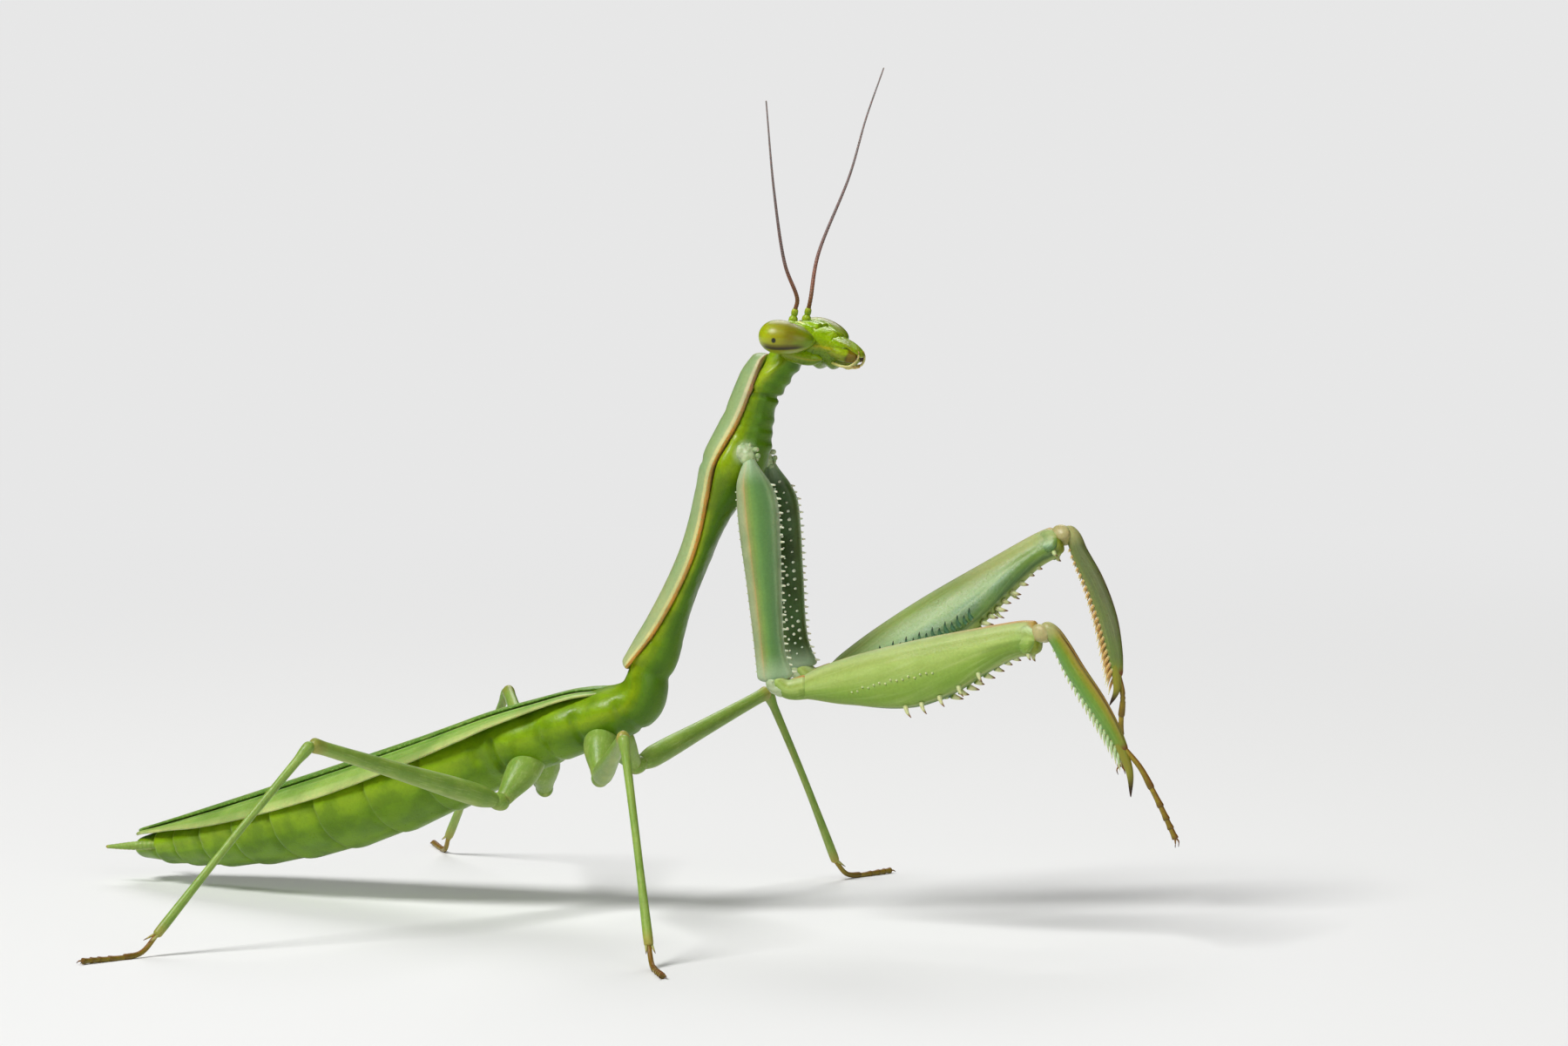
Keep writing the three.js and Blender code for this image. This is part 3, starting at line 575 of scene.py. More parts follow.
shape = new_shape()
sleeve(shape, shield_line, shield_section, rings=200, sides=72, ends=0.02)
for side in (-1, 1):
    for i in range(EDGE_TEETH):
        share = 0.04 + 0.022 * i
        way, left, top = shield_line.axes(share, UP)
        left *= side
        root = shield_line.at(share) + left * (shield_half(share) + 0.02)
        peg = [root, root + left * 0.05, root + left * 0.1 + way * 0.01]
        sleeve(shape, peg, oval(0.05), 2, 6, up=top, ends=(0.2, 0.6))
piece("pronotum_shield", shape, shield_green, "body", "pronotum")

# ---- Head ----
# A hard triangular capsule, broad between the eyes and narrow at the mouth, with the face lifted
# forward: a raised shield between the antennae and the lip, a ridge down each cheek, and a soft back.
# Its own axes run down the face from the vertex, out to the left, and forward out of the face.
HEAD = {"vertex": (7.85, 0.28, 34.2), "yaw": -12, "pitch": 13, "height": 4.5}
SIDES = {"left": 1, "right": -1}
JAW_SEAM = 2.75  # how far down the cheek
head_turn = Matrix.Rotation(math.radians(HEAD["yaw"]), 3, "Z")
head_turn = head_turn @ Matrix.Rotation(math.radians(HEAD["pitch"]), 3, "Y")
face_way = head_turn @ UP
head_half = along({0: 1.4, 0.3: 1.85, 1.22: 2.05, 2.24: 1.72, 3.26: 1.3, 4.08: 1.0, 4.5: 0.8})
head_front = along({0: 0.2, 0.49: 0.55, 1.47: 0.8, 2.45: 0.78, 3.26: 0.56, 4.08: 0.3, 4.5: 0.14})
head_back = along({0: 0.3, 0.49: 0.95, 1.47: 1.5, 2.43: 1.58, 3.7: 1.34, 4.28: 1.12, 4.5: 1.0})


def on_head(down, left, front):
    return Vector(HEAD["vertex"]) + head_turn @ Vector((down, left, front))


def over_head(shape, side, spots, section, rings, sides, ends, tip=None):
    """Adds a sleeve that runs over the head, through spots given for its left side."""
    spots = [on_head(down, side * left, front) for down, left, front in spots]
    sleeve(shape, spots, section, rings, sides, face_way, ends, tip)


FACE_SPOTS = [  # the brown corners of the mouth and the pale rims of the eyes, and the lip's edge
    (on_head(down, left, front), size, code, amount)
    for down, left, front, size, code, amount in (
        (4.5, 0.9, -0.14, 0.3, "#553b04", 0.85),
        (4.5, -0.9, -0.14, 0.3, "#553b04", 0.85),
        (1.1, -2.3, -1.0, 1.5, "#8f971b", 0.6),
        (1.1, 2.3, -1.0, 1.5, "#8f971b", 0.6),
        (4.5, 0.0, 0.2, 0.8, "#88a217", 0.6),
    )
]


def head_section(t, c, s):
    down = t * HEAD["height"]
    wide = head_half(down) * c
    if s > 0:
        plates = 0.13 * within(down, 1.3, 2.35, 0.16) * within(abs(c), -1, 0.42, 0.1)
        plates += 0.12 * within(down, 2.55, 3.4, 0.3) * (1 - c * c)
        brow = 0.12 * within(down, 0.9, 2.3, 0.3) * fold(abs(c), 0.62, 0.1)
        sutures = 0.06 * (fold(down, 2.42, 0.05) + fold(down, 3.5, 0.05)) * s + 0.05 * fold(c, 0, 0.06)
        lumps = 0.035 * noise.noise(Vector((down * 3.1, c * 4.0, 7.3)))
        return wide, head_front(down) * s**0.85 + plates + brow - sutures + lumps
    cheek = within(down, 2.5, 4.4, 0.7) * (0.15 * fold(s, -0.17, 0.09) - 0.06 * fold(s, -0.36, 0.07))
    lumps = 0.05 * noise.noise(Vector((down * 2.7, c * 3.0, 1.9)))
    seam = 0.09 * fold(down, JAW_SEAM, 0.05) * fold(s, -0.5, 0.35)
    jowl = 0.09 * math.sin(down * 7.4 + 0.4) * within(down, 1.9, 4.2, 0.5)
    return wide + math.copysign(cheek + lumps - seam, c), (head_back(down) + jowl) * s


# The spines' pale tint colours only the streak along the eye's rim: a painted highlight.
@finish(
    "#718f06", patch=1900, rough=0.3, relief=0.00005, spines=("#dbe384", "#dbe384"),
    gloss={"Coat Weight": 0.22, "Coat Roughness": 0.12, "Specular IOR Level": 0.25},
)
def face_green(n):
    # Bright lime on the face and darker green on the cheeks and the back of the head: partly painted shade
    # below the lit face.
    face = n.ramp(n.level, {
        0: "#587607", 0.22: "#557006", 0.33: "#678508", 0.4: "#84950b", 0.44: "#a39a13", 0.48: "#7d910a",
        0.58: "#84a20a", 0.8: "#94b70c", 1: "#a3c310",
    })
    brow = {0: "#4e6c06", 0.3: "#496504", 0.42: "#728a09", 0.6: "#84a808", 1: "#9dc210"}
    face = n.over(face, n.ramp(n.level, brow), n.eased(n.along, 0.62, 0.5))
    face = n.spots(face, FACE_SPOTS, 0.35)
    seam = n.band(n.along, JAW_SEAM / HEAD["height"], 0.002, 0.008)
    return n.over(face, "#374f03", seam, n.band(n.above, -0.55, 0.2, 0.15), 0.6)


shape = new_shape()
over_head(shape, 1, ((0, 0, 0), (2.2, 0, 0), (4.5, 0, 0)), head_section, 140, 80, (0.06, 0.05))
for side in SIDES.values():
    # The ring of cuticle round the eye's foot, and the cheek under it
    rim = (0.05, 1.5, -0.1), (1.4, 1.74, -0.1), (2.85, 1.62, 0.05)
    rim_sizes = along({0: 0.4, 0.5: 0.72, 1: 0.3}), along({0: 0.5, 0.45: 0.98, 1: 0.4})
    over_head(shape, side, rim, oval(*rim_sizes), 30, 40, 0.3)
    cheek = (0.25, 1.1, -0.7), (1.2, 1.38, -0.94), (2.3, 1.28, -1.02), (3.2, 0.95, -0.92)
    cheek_size = along({0: 0.34, 0.35: 0.5, 0.7: 0.46, 1: 0.3})
    over_head(shape, side, cheek, oval(cheek_size), 40, 32, 0.2)
    # The socket of the antenna, a bead under it, the ridge beside the shield, and a pale streak that is a
    # painted highlight
    socket = [on_head(0.8, side * 0.84, front) for front in (0.25, 0.45, 0.66)]
    sleeve(shape, socket, oval(0.34), 6, 24, AHEAD, 0.3)
    bead = (1.15, 0.62, 0.6), (1.3, 0.8, 0.62), (1.5, 0.95, 0.55)
    over_head(shape, side, bead, oval(0.13), 10, 16, 0.3)
    ridge = (1.6, 0.95, 0.5), (2.0, 0.82, 0.55), (2.4, 0.62, 0.52), (2.75, 0.78, 0.36), (3.2, 1.0, -0.02)
    over_head(shape, side, ridge, oval(0.12, 0.13), 40, 16, 0.1)
    painted_highlight_streak = (0.7, 0.72, 0.5), (1.3, 1.05, 0.76), (1.95, 1.12, 0.66), (2.5, 1.05, 0.52), (3.1, 1.02, 0.16)
    over_head(shape, side, painted_highlight_streak, oval(0.1), 40, 14, 0.1, lambda t: 0.6)
piece("head_capsule", shape, face_green, "body", "head")

# ---- Simple eyes ----
# Three small glassy domes in a triangle between the roots of the antennae. They are set in the
# cuticle of the brow, and only their caps stand out.
@finish("#71660c", mottle=0.2, rough=0.15, relief=0.000002, gloss={"Coat Weight": 0.6})
def ocellus_amber(n):
    return n.ramp(n.above, {0: "#808510", 1: "#acaa1d"})


shape = new_shape()
for down, left in ((0.42, 0.0), (0.7, 0.3), (0.7, -0.3)):
    dome = [on_head(down, left, front) for front in (0.3, 0.42, head_front(down) + 0.1)]
    sleeve(shape, dome, oval(0.12), 4, 20, AHEAD, (0.2, 0.45))
piece("ocelli", shape, ocellus_amber, "eye")

# ---- Compound eyes ----
# Egg-shaped, blunt at the vertex and narrow towards the mouth, with thousands of lenses too fine to
# see singly: olive green, browner above, with a dark stripe low on the outer side and a false pupil.
EYE = {"down": 1.22, "left": 2.42, "front": -0.08, "splay": 0.16, "tilt": 0.11}
EYE_SIZE = {"long": 1.78, "blunt": 1.45, "wide": 1.2, "deep": 0.95}
PUPIL = Vector((-0.15, 0.98, -0.11)).normalized()[:]
PUPIL_SIZE = (0.09, 0.6, 0.15)


@finish(
    "#828f0f", mottle=0.08, relief=0.000004,
    gloss={
        "Coat Weight": 0.28, "Coat Roughness": 0.38, "Specular IOR Level": 0.3, "Subsurface Weight": 0.25,
    },
)
def eye_olive(n):
    body = n.ramp(n.maths("MULTIPLY_ADD", n.along, 0.5, 0.5), {
        0: "#98ae04", 0.2: "#9fac05", 0.45: "#98980a", 0.68: "#7c7c05", 0.82: "#748a03", 1: "#6d9204",
    })
    # A tan-brown patch high on the narrow half: partly a painted sheen.
    body = n.over(body, "#716106", n.band(n.along, 0.55, 0.05, 0.5), n.band(n.above, 0.3, 0.1, 0.4), 0.55)
    body = n.over(body, "#848020", n.eased(n.above, 0.45, 0.95), 0.6)
    # The stripe lies low on the outer side and rises a little towards both ends.
    bowed = n.maths("MULTIPLY", n.maths("POWER", n.maths("ADD", n.along, 0.1), 2.0), -0.26)
    height = n.maths("ADD", n.maths("ADD", n.above, 0.62), bowed)
    body = n.over(body, "#838e15", n.eased(height, -0.06, -0.16))
    ends = n.band(n.along, 0.04, 0.48, 0.4)
    body = n.over(body, "#4f4004", n.band(height, 0.12, 0.03, 0.2), ends, 0.75)
    body = n.over(body, "#281b01", n.band(height, 0.01, 0.05, 0.08), ends, 0.93)
    body = n.over(body, "#9aa550", n.eased(n.across, 0.1, -0.6), 0.8)
    off = n.put("VectorMath", {0: n.place, 1: PUPIL}, operation="SUBTRACT")[0]
    off = n.put("VectorMath", {0: off, 1: PUPIL_SIZE}, operation="DIVIDE")[0]
    off = n.put("VectorMath", {0: off}, operation="LENGTH")["Value"]
    return n.over(body, "#060701", n.eased(off, 1.3, 0.7))


for name, side in SIDES.items():
    shape = new_shape()
    place = shape.verts.layers.float_vector["place"]
    bmesh.ops.create_uvsphere(shape, u_segments=96, v_segments=56, radius=1)
    tilted = Matrix.Rotation(-side * EYE["splay"], 3, "Z") @ Matrix.Rotation(-EYE["tilt"], 3, "Y")
    middle = on_head(EYE["down"], side * EYE["left"], EYE["front"])
    for vert in shape.verts:
        z, y, x = vert.co
        vert[place] = (x, y * side, z)
        narrow = 1 - 0.2 * x
        length = EYE_SIZE["long" if x > 0 else "blunt"]
        egg = Vector((x * length, y * EYE_SIZE["wide"] * narrow, z * EYE_SIZE["deep"] * narrow))
        vert.co = middle + head_turn @ tilted @ egg
    bmesh.ops.recalc_face_normals(shape, faces=shape.faces)
    piece("eyeball_" + name, shape, eye_olive, "eye", "eye_" + name)

# ---- Mouthparts ----
# The lip and the jaws behind it, the soft lower lip, and two pairs of jointed feelers curled forward
# round them. They are thin tan to green cuticle, and the jaws are dark where they meet; dark spots of
# painted shade lie in the gaps beside the jaws.
# Painted shade in the gaps beside the jaws.
MOUTH_GAP_SHADE = [(on_head(4.72, side * 0.82, -0.52), 0.36, "#353003", 1.0) for side in SIDES.values()]


@finish("#656611", patch=2500, rough=0.34, spines=("#73610c", "#271502"))
def mouth_tan(n):
    tan = n.ramp(n.level, {0: "#768717", 0.45: "#808f19", 0.6: "#8fa411", 1: "#97b50e"})
    tan = n.over(tan, "#919d2d", n.eased(n.along, 0.75, 1.0), 0.6)
    return n.spots(tan, MOUTH_GAP_SHADE, 0.39)


@finish("#ac9b44", mottle=0.3, patch=2500, rough=0.4)
def palp_cream(n):
    return n.ramp(n.along, {0: "#98a038", 0.35: "#c6c480", 0.75: "#c9c07c", 1: "#a8863e"})


shape = new_shape()
lip = (3.3, 0, 0.34), (4.17, 0, 0.17), (4.8, 0, -0.08), (5.2, 0, -0.34)
lip_half = along({0: 0.95, 0.5: 0.8, 0.8: 0.62, 1: 0.4})
over_head(shape, 1, lip, oval(lip_half, 0.12, 0.2), 24, 36, (0.1, 0.14))
lower_lip = (2.9, 0, -0.8), (4.0, 0, -0.8), (5.0, 0, -0.56)
lower_sizes = along({0: 0.8, 0.6: 0.66, 1: 0.4}), 0.3, along({0: 0.5, 1: 0.28})
over_head(shape, 1, lower_lip, oval(*lower_sizes), 24, 32, (0.1, 0.2))
for side in SIDES.values():
    jaw = (3.3, 0.92, -0.22), (4.3, 0.74, -0.4), (5.02, 0.28, -0.42)
    jaw_size = along({0: 0.34, 0.5: 0.38, 0.85: 0.34, 1: 0.24})
    over_head(shape, side, jaw, oval(jaw_size), 24, 20, 0.1, lambda t: max(t - 0.6, 0) * 2.2)
piece("mouthparts", shape, mouth_tan, "body", "mouth")


def beaded(radius, joints, waist=0.25):
    """A round section that swells between its joints."""

    def section(t, c, s):
        u = (t * joints) % 1
        size = sized(radius)(t) * (1 - waist * (1 - min(1, 6 * min(u, 1 - u))) ** 2)
        return size * c, size * s

    return section


palp = (
    (3.7, 0.8, -1.0), (4.3, 0.82, -1.04), (4.8, 0.74, -0.95), (5.02, 0.58, -0.68), (5.1, 0.42, -0.36),
    (4.97, 0.28, -0.02),
)
palp_size = along({0: 0.085, 0.6: 0.07, 1: 0.055})
short_palp = (4.1, 0.3, -1.08), (4.6, 0.4, -1.12), (5.0, 0.3, -0.94)
for name, side in SIDES.items():
    shape = new_shape()
    over_head(shape, side, palp, beaded(palp_size, 5, 0.15), 70, 14, (0.03, 0.05))
    over_head(shape, side, short_palp, beaded(0.08, 3), 36, 12, (0.03, 0.1))
    piece("mouth_feelers_" + name, shape, palp_cream, "body", "palp_" + name)

# ---- Antennae ----
# A thick root joint in its socket, a short second joint, and a long fine lash of many rings, reddish
# brown near the head and grey beyond.
ANTENNA_TIPS = {
    "right": [(8.53, -2.25, 38), (8.33, -3.9, 42.2), (8.22, -5.2, 47.3)],
    "left": [(9.3, 2.2, 38.4), (10.65, 4.3, 43), (11.35, 5.4, 46.3), (12.2, 6.2, 49.2)],
}
LASH_RINGS = 84


@finish("#748a11", mottle=0.3, patch=2500, rough=0.35)
def antenna_root_green(n):
    return n.ramp(n.along, {0: "#88a718", 0.45: "#9db523", 0.62: "#849d18", 1: "#a7b72c"})


@finish("#5a463c", mottle=0.3, patch=2500, rough=0.5)
def antenna_lash_brown(n):
    tint = n.ramp(n.along, {0: "#744c16", 0.12: "#8a5f4c", 0.35: "#7b6c68", 1: "#8b8885"})
    rings = n.maths("PINGPONG", n.maths("MULTIPLY", n.along, LASH_RINGS * 2.0), 1.0)
    return n.over(tint, "#3f2a22", n.eased(rings, 0.3, 0.0), 0.55)


root_size = along({0: 0.2, 0.08: 0.25, 0.4: 0.25, 0.55: 0.16, 0.62: 0.19, 0.85: 0.19, 1: 0.13})
lash_size = along({0: 0.13, 0.4: 0.095, 1: 0.045})
for name, side in SIDES.items():
    root = on_head(0.8, side * 0.84, 0.52)
    top = root + face_way * 0.95
    shape = new_shape()
    sleeve(shape, [root, root.lerp(top, 0.5), top], oval(root_size), 30, 24, AHEAD, (0.04, 0.06))
    piece("antenna_root_" + name, shape, antenna_root_green, "body", "scape_" + name)
    shape = new_shape()
    lash = [top - face_way * 0.06, top + face_way * 0.5, *ANTENNA_TIPS[name]]
    sleeve(shape, lash, beaded(lash_size, LASH_RINGS), LASH_RINGS * 5, 8, AHEAD, (0.002, 0.004))
    piece("antenna_lash_" + name, shape, antenna_lash_brown, "horn", "antenna_" + name)

# ---- Forelegs ----
# The raptorial legs: a long three-edged coxa with a row of white pegs, a small trochanter, a deep
# spined femur, a bowed tibia with a comb of teeth that ends in a strong claw, and a slim jointed foot.
# Each is a closed shell of cuticle, and soft whitish skin joins it to the next.
FORELEGS = {  # hip, elbow, femur's root, knee, wrist, claw's tip, foot, and which way the spines point
    "right": [
        (6.35, -1.75, 26.9), (8.12, -3.1, 14.2), (9.54, -3, 13.85), (24.3, -6, 17.5), (29.2, -6.2, 11),
        (29.55, -6.35, 8.62), (32.2, -6.8, 6.4), (0.05, -0.2, -1),
    ],
    "left": [
        (6.55, 1.75, 26.6), (7.85, 3.2, 14.4), (9.55, 3.15, 13.8), (22.75, 6.1, 22.15), (26.23, 6, 14),
        (25.8, 5.6, 12.5), (26.35, 6.1, 8.9), (0.3, -0.62, -0.8),
    ],
}
# How far the tibia's teeth stand off, how its shin and heel are bowed, and how far the femur's spines
# by the knee lean inwards
BENDS = {"right": (0.5, -0.12, 0.3, 1.0), "left": (0.66, 0.22, 0.1, -0.3)}
HIP_BEADS = 11  # small hard pieces set in the skin of the hip
FRONT_PEGS, FACE_PEGS, REAR_PEGS = 27, 18, 24  # in a row of the coxa
TIBIA_TEETH = 20  # in each of two rows
DARK_SPINES = 16  # of the femur's inner face
SPECKS = 15  # of the femur's outer face
LONG_SPINES = [(0.44, 0.7), (0.505, 0.66), (0.58, 0.62), (0.66, 0.6), (0.745, 0.5)]  # where and how long
KNEE_SPINES = [
    (0.6, 0.7), (0.635, 0.5), (0.67, 0.7), (0.705, 0.45), (0.745, 0.6), (0.79, 0.5), (0.835, 0.3),
    (0.87, 0.34),
]
coxa_half = along({0: 0.3, 0.1: 0.62, 0.35: 0.72, 0.8: 0.6, 1: 0.5})
coxa_front = along({0: 0.2, 0.05: 0.5, 0.12: 1.0, 0.2: 1.3, 0.35: 1.22, 0.55: 1.0, 0.85: 0.82, 1: 1.3})
coxa_back = along({0: 0.3, 0.06: 0.75, 0.12: 1.02, 0.3: 1.16, 0.55: 1.08, 0.82: 0.98, 1: 0.95})
femur_half = along({0: 0.3, 0.1: 0.62, 0.4: 0.95, 0.7: 0.75, 0.92: 0.64, 1: 0.55})
femur_back = along({0: 0.5, 0.05: 0.8, 0.11: 1, 0.24: 1.2, 0.5: 1.3, 0.76: 1.2, 0.93: 1.08, 1: 0.86})
femur_belly = along({
    0: 0.55, 0.05: 0.78, 0.1: 1.05, 0.2: 1.6, 0.3: 2.13, 0.4: 2.5, 0.5: 2.6, 0.63: 2.25, 0.76: 1.52,
    0.85: 1.05, 0.9: 0.93, 0.96: 1, 1: 0.8,
})
tibia_half = along({0: 0.3, 0.08: 0.44, 0.5: 0.4, 1: 0.28})
tibia_toothed = along({0: 0.4, 0.12: 0.4, 0.3: 0.5, 0.6: 0.54, 0.85: 0.42, 1: 0.27})
tibia_back = along({0: 0.46, 0.12: 0.54, 0.4: 0.64, 0.65: 0.62, 0.85: 0.5, 1: 0.28})


def spine(shape, root, tip, radius, lean=None, blunt=0.12, side=1):
    """A pointed spine or peg, thick at its root, that bends a little towards lean."""
    centre = (root + tip) / 2
    if lean is not None:
        centre -= lean * (0.1 * (tip - root).length)
    size = along({0: 1.2 * radius, 0.3: 0.95 * radius, 0.7: (0.5 + blunt / 3) * radius, 1: blunt * radius})
    up = (tip - root).orthogonal()
    sleeve(shape, [root, centre, tip], oval(size), 4, 7, up, 0.04, lambda t: side * max(t, 0.03), soft=2)


@finish("#587f48", mottle=0.3, rough=0.42, spines=("#d3d8b8", "#e4e3c6"))
def coxa_green(n):
    outer = n.ramp(n.level, {
        0: "#98a37a", 0.17: "#9fa97c", 0.25: "#a8a772", 0.29: "#b09c62", 0.33: "#8f9a54", 0.42: "#799647",
        0.52: "#688f47", 0.64: "#5c8445", 0.8: "#577d45", 0.93: "#7f9868", 1: "#a7b692",
    })
    # The inner face is very dark green, partly painted shade.
    inner = {0: "#56682e", 0.5: "#273d06", 0.76: "#2c420c", 0.95: "#42541c", 1: "#78875c"}
    inner = n.ramp(n.level, inner)
    shell = n.mix(n.eased(n.across, -0.3, 0.0), inner, outer)
    # Pale green at both ends; at the lower end it is partly a painted highlight.
    soft = n.maths("MAXIMUM", n.eased(n.along, 0.14, 0.02), n.eased(n.along, 0.86, 0.99))
    return n.over(shell, "#acc29c", soft, 0.65)


def streaked(n, shell, colour, run, slant, amount):
    """Lays pale streaks over a leg that run along it at a slant."""
    rise = n.maths("MULTIPLY_ADD", n.along, slant, n.maths("MULTIPLY", n.above, 5.0))
    spot = n.put("CombineXYZ", {0: n.maths("MULTIPLY", n.along, run), 1: rise, 2: n.across})[0]
    noisy = n.put("TexNoise", {"Vector": spot, "Scale": 1.6, "Detail": 3.0})[0]
    return n.over(shell, colour, n.eased(noisy, 0.45, 0.75), amount)


@finish(
    "#84a03c", mottle=0.25, rough=0.42, spines=("#c6cc92", "#6a4a28", "#4f8058", "#2c4a34", "#8a7a2a")
)
def femur_green(n):
    outer = n.ramp(n.level, {
        0: "#8e9f4e", 0.05: "#7f9b44", 0.14: "#739332", 0.25: "#7f9d3e", 0.38: "#98b055", 0.5: "#a8be66",
        0.65: "#9bad54", 0.82: "#aebe74", 0.94: "#a5b677", 1: "#b2ae6f",
    })
    inner = n.ramp(n.level, {
        0: "#4d6c34", 0.14: "#557642", 0.24: "#688e56", 0.33: "#8eab6c", 0.47: "#859c54", 0.65: "#859850",
        0.82: "#96a76b", 0.93: "#8e9b64", 1: "#a1ab74",
    })
    # Paler on the upper inner face towards the knee: partly a painted sheen.
    inner = n.over(inner, "#aeb374", n.eased(n.along, 0.5, 0.75), n.eased(n.above, -0.3, 0.1), 0.7)
    shell = n.mix(n.eased(n.across, -0.25, 0.1), inner, outer)
    shell = streaked(n, shell, "#cbd897", 2.4, -4.5, 0.2)
    # A darker green band low on the femur towards the knee: partly painted shade.
    shell = n.over(shell, "#68842a", n.eased(n.along, 0.72, 0.85), n.band(n.above, -0.45, 0.25, 0.25), 0.6)
    shell = n.over(shell, "#b5803a", n.eased(n.along, 0.5, 0.92), n.eased(n.above, 0.78, 0.97))
    lobe = n.mix(n.eased(n.above, -0.3, 0.1), "#7f861c", "#b0883c")
    return n.over(shell, lobe, n.eased(n.along, 0.945, 0.985), 0.85)


@finish(
    "#6b8730", mottle=0.25, rough=0.42, spines=("#b3cc94", "#d2d2a0", "#c6a562", "#f0e6bc", "#86842a")
)
def tibia_green(n):
    outer = n.ramp(n.level, {
        0: "#b08848", 0.015: "#b08848", 0.035: "#4a2c10", 0.06: "#7a5c20", 0.11: "#9c8a2c", 0.24: "#8a8e26",
        0.4: "#6d9030", 0.6: "#65923a", 0.82: "#749c52", 1: "#a8bd8c",
    })
    inner = n.ramp(n.level, {
        0: "#68603a", 0.1: "#646b40", 0.35: "#6a7248", 0.6: "#687448", 0.85: "#788248", 1: "#8a8c50",
    })
    shell = n.mix(n.eased(n.across, -0.25, 0.2), inner, outer)
    shell = streaked(n, shell, "#a9bb70", 3.0, 3.0, 0.2)
    shell = n.over(shell, "#5f7f20", n.eased(n.along, 0.7, 0.9), 0.35)
    shell = n.over(shell, "#a5a468", n.eased(n.along, 0.16, 0.06))
    shell = n.over(shell, "#7f8a2c", n.eased(n.along, 0.86, 0.97))
    return n.over(shell, "#7a3c18", n.eased(n.along, 0.92, 0.97), n.eased(n.above, 0.1, -0.5))


@finish("#6a541a", patch=2000, rough=0.4, spines=("#7a5c22", "#2e1a0c"))
def foot_ochre(n):
    ochre = n.ramp(n.along, {0: "#958428", 0.6: "#857420", 1: "#6a5418"})
    return n.over(ochre, "#7a4420", n.eased(n.above, 0.3, 0.9), 0.6)


@finish("#7f9a5c", mottle=0.6, patch=2500, rough=0.4)
def joint_skin(n):
    return n.ramp(n.along, {0: "#a9b98a", 0.5: "#b9c59c", 1: "#a3b580"})


@finish("#a39a62", patch=1800, rough=0.38)
def knob_cream(n):
    return n.ramp(n.along, {0: "#b3aa74", 0.5: "#a7a262", 1: "#b3aa74"})


def coxa_section(t, c, s):
    rib = 0.06 * fold(s, -0.42, 0.07) + 0.04 * fold(s, 0.82, 0.1)
    flat = coxa_half(t) * (abs(c) ** 1.12 + rib * 1.4) - 0.05 * fold(s, -0.22, 0.12)
    flat = max(flat, 0) if abs(c) > 0.01 else 0
    return math.copysign(flat, c), (coxa_front if s > 0 else coxa_back)(t) * s


def femur_section(t, c, s):
    flutes = 0.05 * within(t, 0.12, 0.9, 0.1) * (fold(s, 0.35, 0.12) + fold(s, -0.35, 0.1)) * abs(c)
    flat = max(femur_half(t) * abs(c) ** (1.1 if s > 0 else 0.72) - flutes, 0)
    groove = 0.1 * within(t, 0.2, 0.8, 0.15) * fold(c, 0, 0.28)
    return math.copysign(flat, c), (femur_back(t) if s > 0 else femur_belly(t) * (1 - groove)) * s


def lumpy(radius, size, seed):
    """A round section of soft skin, puckered into small lumps."""

    def section(t, c, s):
        puffed = sized(radius)(t) + size * noise.noise(Vector((c * 3 + seed, s * 3, t * 9)))
        return puffed * c, puffed * s

    return section


def tarsus(shape, points, radius, claws=0.75):
    """A foot of five joints, the first the longest, with a pair of hooked claws at its end."""
    line = Line(points)
    shares = [0.0, 0.5, 0.68, 0.81, 0.9, 1.0]
    for start, end in zip(shares, shares[1:]):
        joint = [line.at(max(start - 0.03, 0)), line.at((start + end) / 2), line.at(end)]
        size = along({0: 0.82 * radius, 0.6: 0.9 * radius, 0.9: 1.1 * radius, 1: 0.98 * radius})
        sleeve(shape, joint, oval(size), 10, 16, UP, (0.05, 0.08))
    way, aside, top = line.axes(1.0, UP)
    for side in (aside, -aside):
        root = line.at(1.0) - way * 0.1 + side * (0.3 * radius)
        bend = root + way * (0.35 * claws) + side * (0.25 * claws)
        hook = [root, bend, bend + way * (0.35 * claws) - top * (0.2 * claws)]
        size = along({0: 0.4 * radius, 1: 0.08 * radius})
        sleeve(shape, hook, oval(size), 8, 8, UP, (0.1, 0.05), lambda t: 0.2 + 0.8 * t)


